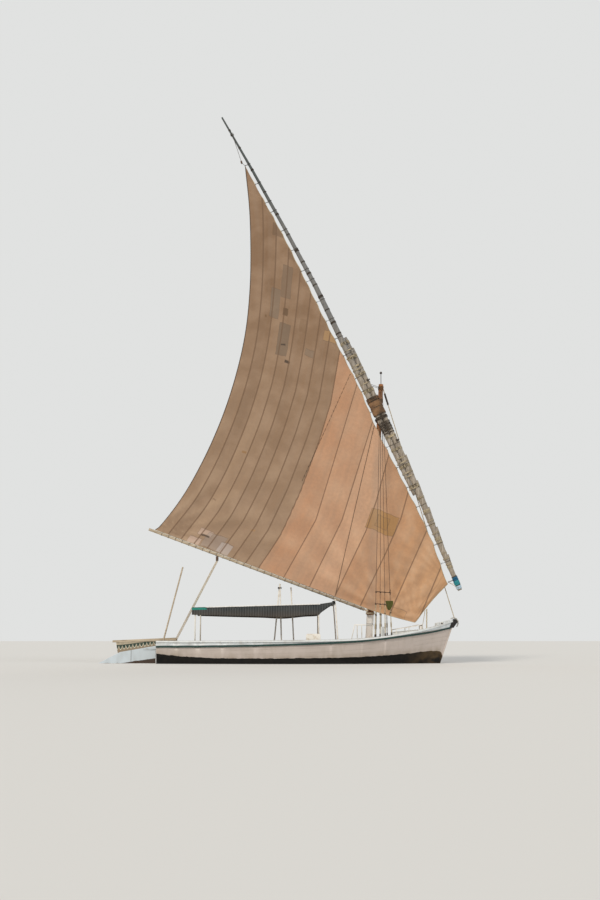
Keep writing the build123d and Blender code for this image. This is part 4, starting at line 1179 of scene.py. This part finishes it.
# %% Spreader sticks and wind cloth
STICKS = ((2.36, (2.33, 2.79), 0.016), (1.96, (2.31, 2.66), 0.012))
PEG, PEG_R = ((2.79, -0.99, 2.27), (2.79, -1.0, 2.45)), 0.018
sticks, stick_ties = bmesh.new(), []
for z, (aft, fore), radius in STICKS:
    out = STAY_FEET[0][1] - 0.092 * (z - 0.87) + 0.035
    add_rod(sticks, (aft - 0.03, -out, z + 0.02), (fore + 0.03, -out + 0.09, z - 0.02), radius, radius * 0.8)
    for i in range(len(STAY_FEET)):
        foot, over = stay_route(i, -1)[-1], stay_route(i, -1)[-2]
        spot = foot.lerp(over, (z - foot.z) / (over.z - foot.z))
        if aft - 0.06 <= spot.x <= fore + 0.06:
            stick_ties.append(coil(spot, (1, 0, 0.3), 0.026, 0.04, 0.005))
add_rod(sticks, *PEG, PEG_R, PEG_R)
new_piece("spreader_sticks", sticks, block_wood, "spar_wood")
rope("stick_ties", stick_ties, 0.005, rope_dark)
print("stays ready")

# %% [markdown]
# ## The yard's strop
# A thick grommet of rope binds the yard to the mast. Brown sacking is wrapped round both spars
# there to stop them wearing, tied at its ends.

# %% Strop and sacking
STROP_AT = 0.345
STROP_TURNS = 4
STROP_R = 0.022
strop_runs = []
strop_r = mast_at(yard_at(STROP_AT).z)[1]
out = yard_out(STROP_AT)
aft, fore, side = yard_reach(STROP_AT)
half = (fore - aft) / 2 + STROP_R
near, far = -side - STROP_R, -YARD_Y + strop_r + STROP_R
for k in range(STROP_TURNS):
    middle = yard_at(STROP_AT) + out * (fore + aft) / 2 + yard_way(STROP_AT) * ((k - 1.5) * 0.026)
    ring = []
    for step in range(41):
        angle = 2 * pi * step / 40
        c, s = cos(angle), sin(angle)
        across = (near + far) / 2 + (far - near) / 2 * copysign(abs(c) ** 0.45, c)
        ring.append(middle + out * (half * copysign(abs(s) ** 0.6, s)) + Vector((0, across, 0)))
    strop_runs.append(ring)
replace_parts(rope("yard_strop_rope", strop_runs, 0.013, rope_dark), "yard_strop")

sacking, surface, place = new_finish("jute_sacking", 0.95)
blotch = grey_noise(place, 4.0, 4.0)
coat(surface, mix(blotch, "#5E4632", "#8E6C4C"), plus(blotch, grey_noise(place, 45.0, 2.0)), 0.004)

DARK_TURNS = (
    (0.3135, 0.05, 0.0), (0.3190, 0.09, 0.004), (0.3245, 0.10, 0.010), (0.3300, 0.09, 0.006),
    (0.3345, 0.06, 0.014), (0.3520, 0.06, 0.020), (0.3660, 0.05, 0.026), (0.3790, 0.06, 0.034),
    (0.3840, 0.10, 0.030),
)
SLEEVES = (
    ("yard_sacking", 0.351, 0.386, 0.020, sacking, 9, "sail_cloth"),
    ("heel_wrap_blue", 0.0025, 0.0088, 0.004, cloth_blue, 12, "awning_cloth"),
    ("heel_wrap_teal", 0.0100, 0.0185, 0.008, cloth_teal, 15, "awning_cloth"),
    ("heel_wrap_navy", 0.0180, 0.0255, 0.004, cloth_navy, 18, "awning_cloth"),
)
RINGS, SEGMENTS = 26, 40


def sleeve(name, low, high, grow, finish, seed, slot):
    """Cloth wound round the spars: a tube on their outline with wrinkles."""
    def place(s, t):
        angle = 2 * pi * s
        bulge = grow + 0.016 * sin(pi * t) ** 0.5
        bulge += 0.016 * noise.noise((cos(angle) * 1.6, sin(angle) * 1.6, t * 4.5 + seed))
        bulge -= 0.012 * exp(-(((t - 0.5) / 0.05) ** 2))
        return round_yard(low + (high - low) * t, angle, max(bulge, 0.006))

    built = cloth_grid(SEGMENTS, RINGS, place)
    bmesh.ops.remove_doubles(built, verts=built.verts, dist=1e-4)
    bmesh.ops.recalc_face_normals(built, faces=built.faces)
    area = sum(f.calc_area() for f in built.faces)
    piece = new_piece(name, built, finish, slot, smooth=180)
    thicken(piece, 1.0)


for row in SLEEVES:
    sleeve(*row)
tie_runs = [wound(s, w, 0.009, g) for s, w, g in DARK_TURNS]
tie_runs += [wound(s, 0.03, 0.006, 0.010) for s in (0.0262, 0.0094)]
rope("sleeve_ties", tie_runs, 0.007, rope_dark)
print("sleeves done")

# %% [markdown]
# ## Chocks on the yard and lines about it
# Short poles are lashed on the fore side of the yard, each with its thick end up, so that no
# lashing can slide down. A thin line in two parts ties the yard to the masthead, thin ropes hold
# the yard's heel to the sail's tack, and two lines hold the sail's fore edge down to the bow.

# %% Chocks, knots and lines
CHOCKS = (
    (0.4858, 1.1), (0.2641, 0.85), (0.2128, 0.85), (0.1597, 0.65), (0.1211, 0.75), (0.0675, 0.45),
)
chocks, chock_runs = bmesh.new(), []
for share, long in CHOCKS:
    ends = []
    for place, inwards_by in ((share, 0.004), (share - long / YARD_LONG, 0.026)):
        ends.append(yard_at(place) + yard_out(place) * (yard_reach(place)[1] - inwards_by))
    add_rod(chocks, ends[1], ends[0], 0.026, 0.050, 12)
    for part in (0.25, 0.7):
        chock_runs.append(wound(share - part * long / YARD_LONG, 0.05, 0.007, 0.030 - 0.028 * part))
new_piece("yard_chocks", chocks, yard_wood, "spar_wood")
rope("chock_lashings", chock_runs, 0.007)

HEAD_LINES = ((0.419, 9.5), (0.415, 9.46))
mast_x, mast_r = mast_at(HEAD_LINES[0][1])
line_runs = [[yard_at(share), (mast_x, -mast_r, z)] for share, z in HEAD_LINES]
rope("masthead_line", line_runs, 0.008, rope_dark, step=0.03)
head_turns = [
    coil((mast_at(z)[0], 0, z), (0.055, 0, 1), mast_at(z)[1] + 0.008, wide, 0.010)
    for z, wide in ((9.50, 0.14), (9.05, 0.12), (8.62, 0.10))
]
rope("masthead_turns", head_turns, 0.010, rope_finish("coir_brown", "#8F6A46", "#5C4029"))

TACK_LINES = (
    ("heel_lines", 0.008, (
        (BLEND_START, HEEL + Vector((-0.06, 0.0, 0.07))),
        (BLEND_START, HEEL + Vector((-0.10, -0.04, 0.16))),
    )),
    ("tack_pendant", 0.022, (((FOOT_TIP[0] + 0.42, YARD_Y, 1.82), (4.08, -0.14, 1.16)),)),
    ("tack_line", 0.012, (((FOOT_TIP[0] + 0.36, YARD_Y, 1.78), (3.93, -0.05, 1.14)),)),
)
for name, radius, runs in TACK_LINES:
    rope(name, runs, radius, step=0.04)

PEAK_BLOCK = Vector((-2.315, YARD_Y + 0.02, 17.70))
peak = Vector((PEAK[0], YARD_Y + belly(*PEAK), PEAK[1]))
peak_runs = [[yard_at(0.958) - Vector((0, 0.05, 0)), PEAK_BLOCK], [PEAK_BLOCK, peak]]
rope("peak_line", peak_runs, 0.009, rope_dark, step=0.03)
built = bmesh.new()
add_box(built, PEAK_BLOCK, (0.07, 0.06, 0.12), facing(PEAK_BLOCK, yard_at(0.947)), 0.022)
new_piece("peak_block", built, block_wood, "spar_wood")

KNOTS = ((0.2945, 0.060), (0.4185, 0.055))
knot_runs = []
for share, size in KNOTS:
    for turn in range(3):
        middle = round_yard(share, radians(-70 + 12 * turn), 0.03)
        tilt = Vector((cos(turn * 1.3), 0.5, sin(turn * 1.3)))
        knot_runs.append(coil(middle, tilt, size * 0.6, 0.03, 0.012))
rope("yard_knots", knot_runs, 0.012, rope_dark)
print("yard dressed")

# %% [markdown]
# ## Brails
# Lines lie on the starboard face of the sail and gather it when they are hauled. Each is given as
# (metres along, metres above) the boom, as the seams are.

# %% Brail lines
BRAILS = (
    ((1.93, 6.08), (1.56, 3.09), (1.17, 0.02)),
    ((3.33, 7.49), (3.62, 3.24)),
)
BRAIL_PARTS = 24
BRAIL_OFF = 0.012


def off_boom(along, above):
    """A point just off the sail's starboard face, from metres along and above the boom."""
    flat = BOOM_FORE + boom_way * along + boom_up * above
    return Vector((flat.x, cloth_depth(flat.x, flat.z) - BRAIL_OFF, flat.z))


brail_runs = []
for line in BRAILS:
    run = []
    for (a0, h0), (a1, h1) in zip(line, line[1:]):
        for k in range(BRAIL_PARTS):
            run.append(off_boom(a0 + (a1 - a0) * k / BRAIL_PARTS, h0 + (h1 - h0) * k / BRAIL_PARTS))
    brail_runs.append(run)
bend_with_sail(rope("brail_lines", brail_runs, 0.007, rope_dark, None))
print("brails:", len(brail_runs))

# %% [markdown]
# ## Mainsheet
# The sheet is a tackle of three parts from the boom's block to a block on the after deck, and its
# fall is made up in a coil beside it. The tackle stretches between hull and boom.

# %% Sheet tackle
SHEET_TOP = Vector((-3.046, YARD_Y, 3.453))
SHEET_FOOT = Vector((-4.56, 0.57, 0.66))
pull = (SHEET_TOP - SHEET_FOOT).normalized()
block_at = SHEET_FOOT + pull * 0.12
across = pull.cross(Vector((0, 1, 0))).normalized()
sheet_runs = [
    [block_at + pull * 0.05 + across * 0.028 * (k - 1), SHEET_TOP + across * 0.024 * (k - 1)]
    for k in range(3)
]
rope_cotton = rope_finish("cotton_bleached", "#D9CDB8", "#B5A58C")
sheet = rope("sheet_tackle", sheet_runs, 0.0125, rope_cotton, None, step=0.05)
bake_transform(sheet)
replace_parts(sheet, "mainsheet")

built = bmesh.new()
add_box(built, block_at, (0.060, 0.085, 0.135), facing(SHEET_FOOT, SHEET_TOP), 0.020)
new_piece("sheet_block", built, block_wood, "spar_wood")
hold_runs = [
    coil(block_at, pull, 0.050, 0.03, 0.007),
    [SHEET_FOOT - pull * 0.02, block_at - pull * 0.05],
    [SHEET_FOOT + Vector((0.018, 0, -0.02)), block_at - pull * 0.05 + Vector((0.015, 0, 0))],
]
rope("sheet_block_strop", hold_runs, 0.009, rope_dark, step=0.02)

COIL_AT = Vector((-4.28, 0.62, 0.575))
COIL_TURNS = 5
coil_run = [block_at + pull * 0.03 + across * 0.02, Vector((-4.42, 0.66, 0.60))]
for k in range(COIL_TURNS * 24):
    angle = 2 * pi * k / 24
    layer = k // 24
    reach = 0.17 - 0.016 * layer + 0.006 * sin(3 * angle + k * 0.1)
    off = Vector((reach * cos(angle), reach * sin(angle), 0.010 + 0.006 * layer * 1.4))
    coil_run.append(COIL_AT + off)
rope("sheet_coil", [coil_run], 0.010, step=0.03)
print("sheet ready")

# %% [markdown]
# ## Awning
# A canopy of cotton on white poles, grey on top. Its sides hang in pleats to a swagged hem; they
# are much darker, partly dark blue-grey cloth and partly painted shade on the sides turned from the
# light. A white band along its long edges stands in for their sunlit rim, a painted highlight. Its
# after end is teal, and what is left over is gathered in a roll at the fore end.

# %% Cloth makers
def cloth_piece(name, built, finish, stands_for=None):
    """One layer of cloth with its real thickness; it stands for a node if one is named."""
    area = sum(f.calc_area() for f in built.faces)
    piece = new_piece(name, built, finish, "awning_cloth", smooth=180)
    thicken(piece)
    if stands_for:
        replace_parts(piece, stands_for)


AWN_X = (-3.81, 0.445)
AWN_Z = (1.858, 1.974)
AWN_HALF = 1.18
AWN_LONG = AWN_X[1] - AWN_X[0]
BUNDLE_AT = (0.9, 2.012)
SWAG = (
    (-3.81, 1.61), (-3.0, 1.585), (-2.26, 1.565), (-1.5, 1.545), (-0.8, 1.515), (-0.1, 1.58),
    (0.3, 1.60), (0.445, 1.625),
)
swag_at = partial(on_line, smooth_edge(SWAG))


def awning_height(x):
    return AWN_Z[0] + (AWN_Z[1] - AWN_Z[0]) * (x - AWN_X[0]) / AWN_LONG


TEAL_FROM = -3.40
# The side cloth: dark blue-grey cotton, darkened further as painted shade on the sides turned from the
# light.
shaded_slate, surface, place = new_finish("cotton_slate_shaded", 0.95)
x, y, z = split(place)
worn = grey_noise(place, 3.0, 5.0)
stripe = less(sums("FRACT", sums("DIVIDE", x, 0.085)), 0.42)
colour = tint(mix(worn, "#2B3033", "#3F4140"), stripe, 0.22, "#6C7071")
colour = tint(colour, spread(z, 1.80, 1.48), 0.5, "#5C4C3C")
teal_end = less(x, plus(times(worn, 0.1), TEAL_FROM))
high = more(z, plus(times(x, 0.0273), 1.87))
colour = mix(times(teal_end, high), colour, "#2A7F72")
coat(surface, colour, grey_noise(place, 60.0, 3.0))

canopy, surface, place = new_finish("cotton_canopy", 0.95)
x = split(place)[0]
joint = less(sums("FRACT", sums("DIVIDE", x, 0.95)), 0.02)
colour = tint(mix(grey_noise(place, 2.2, 5.0), "#6E7577", "#8B8C86"), joint, 0.6, "#4B4E4E")
colour = mix(less(x, TEAL_FROM), colour, "#2E8475")
coat(surface, colour, grey_noise(place, 60.0, 3.0))
print("awning cloths ready")

# %% Canopy, valances and roll
POLE_HOLES = ((-0.888, -0.120), (-0.989, 0.140), (-0.495, 0.120))
HOLE_R = 0.036
PLEAT = 0.085
FLAP_LONG = BUNDLE_AT[0] - AWN_X[1]
ROLL_TIES = (-1.0, -0.5, 0.0, 0.5, 1.0)
LIT_EDGE_FROM = 0.45


def canopy_point(s, t):
    x, y = AWN_X[0] + AWN_LONG * s, AWN_HALF * (2 * t - 1)
    bow = sin(pi * t)
    sag = 0.022 * sin(pi * s) + 0.012 * bow * abs(sin(4.5 * pi * s))
    sag += 0.005 * noise.noise((x * 2.2, y * 2.2, 3))
    return Vector((x, y, awning_height(x) - 0.008 - sag * bow**0.5))


def fore_end_point(s, t):
    sag = 0.035 * sin(pi * s) * sin(pi * t) ** 0.5
    z = AWN_Z[1] - 0.008 + (BUNDLE_AT[1] - AWN_Z[1] + 0.03) * s - sag
    return Vector((AWN_X[1] + FLAP_LONG * s, AWN_HALF * (2 * t - 1), z))


def valance_point(side, s, t):
    """t is 0 at the canopy's edge and 1 at the swagged hem."""
    x = AWN_X[0] + AWN_LONG * s
    top = awning_height(x) - 0.014
    out = 0.011 * sin(2 * pi * x / PLEAT) * (0.2 + 0.8 * t)
    out += 0.008 * noise.noise((x * 1.3, t * 2, side))
    return Vector((x, side * (AWN_HALF - 0.016 + out), top + (swag_at(x) - top) * t))


def flap_point(side, s, t):
    x = AWN_X[1] + FLAP_LONG * s
    top = AWN_Z[1] - 0.014 + (BUNDLE_AT[1] - AWN_Z[1] + 0.02) * s
    low = SWAG[-1][1] + 0.02 + (BUNDLE_AT[1] - 0.05 - SWAG[-1][1]) * s**0.8
    out = 0.012 * sin(2 * pi * x / PLEAT) * t
    return Vector((x, side * (AWN_HALF - 0.016 + out), top + (min(low, top - 0.01) - top) * t))


def roll_point(s, t):
    y = AWN_HALF * (2 * t - 1)
    angle = 2 * pi * s
    reach = 0.056 + 0.016 * noise.noise((cos(angle), sin(angle), y * 2.4))
    reach += 0.006 * sin(5 * angle + 9 * y)
    reach -= 0.020 * exp(-((min(abs(y - tie) for tie in ROLL_TIES) / 0.035) ** 2))
    return Vector((BUNDLE_AT[0] + reach * cos(angle), y, BUNDLE_AT[1] + reach * sin(angle)))


built = cloth_grid(128, 72, canopy_point)
for hole in POLE_HOLES:
    spot = Vector(hole)
    torn = [f for f in built.faces if (f.calc_center_median().xy - spot).length < 0.030]
    bmesh.ops.delete(built, geom=torn, context="FACES")
    for vert in built.verts:
        if (vert.co.xy - spot).length < 0.058 and vert.is_boundary:
            vert.co.xy = spot + (vert.co.xy - spot).normalized() * HOLE_R
cloth_piece("canopy_top", built, canopy, "awning_top")

for word, side in SIDES:
    built = cloth_grid(400, 10, partial(valance_point, side))
    stands_for = "awning_valance_" + word
    cloth_piece("valance_" + word, built, shaded_slate, stands_for)
    built = cloth_grid(48, 8, partial(flap_point, side))
    cloth_piece("valance_end_" + word, built, shaded_slate)

built = cloth_grid(20, 60, fore_end_point)
cloth_piece("canopy_fore_end", built, canopy)

built = cloth_grid(28, 170, roll_point)
bmesh.ops.remove_doubles(built, verts=built.verts, dist=1e-4)
roll_wide = sum(f.calc_area() for f in built.faces) / (2 * AWN_HALF)
cloth_piece("canopy_roll", built, canopy, "awning_bundle")
tie_runs = [coil((BUNDLE_AT[0], tie, BUNDLE_AT[1]), (0, 1, 0), 0.044, 0.03, 0.005) for tie in ROLL_TIES]
rope("roll_ties", tie_runs, 0.005)

# A white band along the canopy's long edges: a painted highlight of the sunlit rim.
spots = [AWN_X[0] + LIT_EDGE_FROM + (AWN_LONG - LIT_EDGE_FROM) * k / 40 for k in range(41)]
lit_edge_runs = [
    [(x, side * (AWN_HALF + 0.006), awning_height(x) - 0.012) for x in spots] for side in (-1, 1)
]
rope("canopy_lit_edge", lit_edge_runs, 0.020, cloth_white, slot="awning_cloth")
print("awning ready")

# %% [markdown]
# ## Rudder
# The blade is white above a brown boot stripe, with one long joint. Along its top runs a board
# with green scallops edged in white under a bare band, a pattern that is traditional on the Nile.

# %% Rudder finishes
BLADE_JOINT = -5.95
rudder_paint, surface, place = new_finish("enamel_on_rudder", 0.45)
x, y, z = split(place)
grime = grey_noise(place, 3.0, 5.0, (1, 1, 0.4), 0.45, 0.75)
colour = mix(times(grime, 0.4), "#C4CED4", "#979A97")
seam = less(apart(x, BLADE_JOINT), 0.008)
colour = tint(colour, seam, 0.8, "#3F3A34")
boot = less(z, plus(spread(x, -6.3, -5.12, 0.17), times(grime, 0.02)))
coat(surface, mix(boot, colour, "#3B291B"), minus(grime, seam))
dress("rudder_blade", rudder_paint, "hull_white", 0.008)

SCALLOP = 0.118
frieze_paint, surface, place = new_finish("enamel_scalloped", 0.45)
x, y, z = split(place)
below = minus(spread(x, -6.48, -5.124, 0.80, 0.76), z)
wave = sums("ABSOLUTE", sums("SINE", times(x, pi / SCALLOP)))
drop = spread(x, -5.15, -6.30, 0.12)
hang = plus(times(wave, 0.115), plus(drop, 0.065))
rim = less(apart(below, hang), 0.014)
band = less(below, plus(times(drop, 0.9), 0.040))
chips = grey_noise(place, 9.0, 5.0, (1, 1, 1), 0.5, 0.72)
# The board below the scallops is brown: painted shade on the board.
colour = mix(less(below, hang), "#8B7A63", "#1D3327")
colour = mix(rim, colour, "#D3D1BC")
colour = mix(band, colour, "#AEA28B")
coat(surface, tint(colour, chips, 0.45, "#6E6758"))
dress("rudder_frieze", frieze_paint, "green_trim", 0.004)
dress("stem_guard", rubber, "black_rubber", 0.012, 50)
print("rudder ready")

# %% [markdown]
# ## Bow
# A slice of tyre guards the stem, with a loop of grey rope hung over it. Each side has a hawse
# hole. The fore deck carries low white planks, and a raised board tops each rail at the bow.

# %% Bow fittings
def skin_of(node):
    """A solid's faces, ready to be met by rays."""
    mesh = nodes[node].data
    return BVHTree.FromPolygons([v.co for v in mesh.vertices], [p.vertices for p in mesh.polygons])


skin = skin_of("hull_shell")


def hull_inside(x, z, side):
    """A point on the hull's skin at a length and a height, met from inside."""
    return skin.ray_cast(Vector((x, 0.0, z)), Vector((0, side, 0)))[0]


LOOP = (
    (4.93, 0.088, 1.500), (5.02, 0.094, 1.535), (5.10, 0.094, 1.500), (5.155, 0.090, 1.420),
    (5.165, 0.080, 1.335), (5.140, 0.060, 1.265), (5.120, 0.0, 1.235),
)
loop_run = list(LOOP) + [(x, -y, z) for x, y, z in reversed(LOOP[:-1])]
rope("stem_rope_loop", [loop_run], 0.017, rope_finish("cotton_grey", "#BDBBB4", "#86837B"), step=0.03)

CAPS = {-1: skin_of("gunwale_cap_starboard"), 1: skin_of("gunwale_cap_port")}
BOW_BOARD = (Vector((4.42, 1.35)), Vector((4.985, 1.475)))
BOARD_T = 0.032
HAWSE_AT = (4.58, 1.335)
DOWN = Vector((0, 0, -1))
boards = bmesh.new()
outer_face = {}
for side in (-1, 1):
    spots = []
    for k in range(9):
        x, top = BOW_BOARD[0] + (BOW_BOARD[1] - BOW_BOARD[0]) * k / 8
        hits = [CAPS[side].ray_cast(Vector((x, side * y / 200, 3)), DOWN)[0] for y in range(140)]
        hits = [h for h in hits if h is not None]
        if hits:
            outer = max(abs(h.y) for h in hits)
            spots.append((Vector((x, side * (outer - 0.045), hits[-1].z)), top))
    for (a, top_a), (b, top_b) in zip(spots, spots[1:]):
        low, high = (a.z + b.z) / 2 - 0.012, (top_a + top_b) / 2
        flat = (b - a).xy
        turn = Matrix.Rotation(atan2(flat.y, flat.x), 3, "Z")
        middle = Vector((*(a.xy + b.xy) / 2, (low + high) / 2))
        add_box(boards, middle, (flat.length + 0.012, BOARD_T, high - low), turn)
    outer_face[side] = spots
new_piece("bow_boards", boards, rail_paint, "hull_white")
print("bow board runs:", [(round(p.x, 2), round(p.y, 2), round(p.z, 2)) for p, _ in outer_face[-1]])

hawse, holes = bmesh.new(), bmesh.new()
for side in (-1, 1):
    near = [p for p, _ in outer_face[side] if abs(p.x - HAWSE_AT[0]) < 0.05]
    if near:
        spot = Vector((HAWSE_AT[0], near[0].y + side * BOARD_T / 2, HAWSE_AT[1]))
        out = Vector((0, side, 0))
        add_rod(hawse, spot - out * 0.01, spot + out * 0.012, 0.050, 0.042, 20)
        add_rod(holes, spot, spot + out * 0.016, 0.030, 0.030, 16)
new_piece("hawse_rings", hawse, pipe_white, "hull_white")
new_piece("hawse_holes", holes, rubber, "black_rubber")
DECK_RISE = radians(11)
DECK_AFT, DECK_LOW = 2.42, 0.76


def deck_at(x):
    return DECK_LOW + max(x - DECK_AFT, 0) * tan(DECK_RISE)


DECK_PLANKS = ((2.90, 3.76, 0.42, 0.205, 0.12), (3.79, 4.34, 0.21, 0.10, 0.09))
PLANK_STEP = 0.14
POST_CLEAR = 0.13
planks = bmesh.new()
for aft, fore, half, rise, end_rise in DECK_PLANKS:
    start, end = Vector((aft, 0, deck_at(aft) + rise)), Vector((fore, 0, deck_at(fore) + end_rise))
    middle, long = (start + end) / 2, (end - start).length
    tilt = Matrix.Rotation(-atan2(end.z - start.z, end.x - start.x), 3, "Y")
    for k in range(int(2 * half / PLANK_STEP)):
        y = -half + 0.07 + PLANK_STEP * k
        if aft < 3.7 or abs(y) >= POST_CLEAR:
            add_box(planks, middle + Vector((0, y, -0.012)), (long, 0.130, 0.024), tilt, 0.004)
    for x, z in ((aft + 0.03, start.z), (fore - 0.03, end.z)):
        low = deck_at(x)
        add_box(planks, (x, 0, (low + z - 0.03) / 2), (0.03, 2 * half - 0.10, z - 0.03 - low), None, 0.004)
    for side in (-1, 1):
        spot = middle + Vector((0, side * (half - 0.035), -0.024 - rise / 2))
        add_box(planks, spot, (long - 0.02, 0.028, rise), tilt, 0.004)
new_piece("fore_deck_planks", planks, rail_paint, "hull_white")
print("bow ready")

# %% [markdown]
# ## Inside the hull
# Sawn frames show above the benches, painted like the planks, and each pole wears a round knob.

# %% Frames and knobs
RIBS, RIB_AFT, RIB_STEP = 14, -3.62, 0.42
RIB_FOOT, RIB_TOP, RIB_PART = 0.44, 1.2, 0.05
RIB_LONG, RIB_DEEP = 0.050, 0.032
ribs = bmesh.new()
for k in range(RIBS):
    x = RIB_AFT + RIB_STEP * k
    for side in (-1, 1):
        spots = []
        z = RIB_FOOT
        while z < RIB_TOP:
            hit = hull_inside(x, z, side)
            if hit is None:
                break
            spots.append(hit - Vector((0, side * 0.013, 0)))
            z += RIB_PART
        for a, b in zip(spots, spots[2:]):
            add_box(ribs, (a + b) / 2, (RIB_LONG, RIB_DEEP, (b - a).length), facing(a, b))
new_piece("hull_frames", ribs, rail_paint, "hull_white")

KNOBS = (
    (0.950, -1.118, 2.085, 20, 0.034), (0.950, 1.118, 2.085, 20, 0.034),
    (-0.905, -0.06, 2.665, 16, 0.028), (-0.915, -0.008, 2.645, 16, 0.028), (-0.53, 0.12, 2.545, 16, 0.028),
)
knobs = bmesh.new()
for x, y, z, count, radius in KNOBS:
    spot = Matrix.Translation((x, y, z))
    rows = {20: 12, 16: 10}[count]
    bmesh.ops.create_uvsphere(knobs, u_segments=count, v_segments=rows, radius=radius, matrix=spot)
new_piece("pole_knobs", knobs, pipe_white, "white_pipe")
crutch_run = [coil((-0.911, -0.035, 2.54), (0, 0, 1), 0.062, 0.06, 0.007)]
rope("crutch_lashing", crutch_run, 0.007, rope_dark)

wind_cloth = worn_paint("cotton_olive", "#4B4C1C", "#36381A", 0.95, 0.0, 12.0)


def pennant_point(s, t):
    """A scrap that hangs from its upper edge and narrows to a point."""
    half = 0.125 * (1 - 0.80 * t**2.6)
    x = 2.755 + half * (2 * s - 1) + 0.01 * sin(5 * t)
    return Vector((x, -1.02 + 0.016 * sin(9 * s + 4 * t) * (0.4 + t), 2.075 - 0.31 * t))


scrap = cloth_grid(20, 24, pennant_point)
cloth_piece("wind_cloth", scrap, wind_cloth)
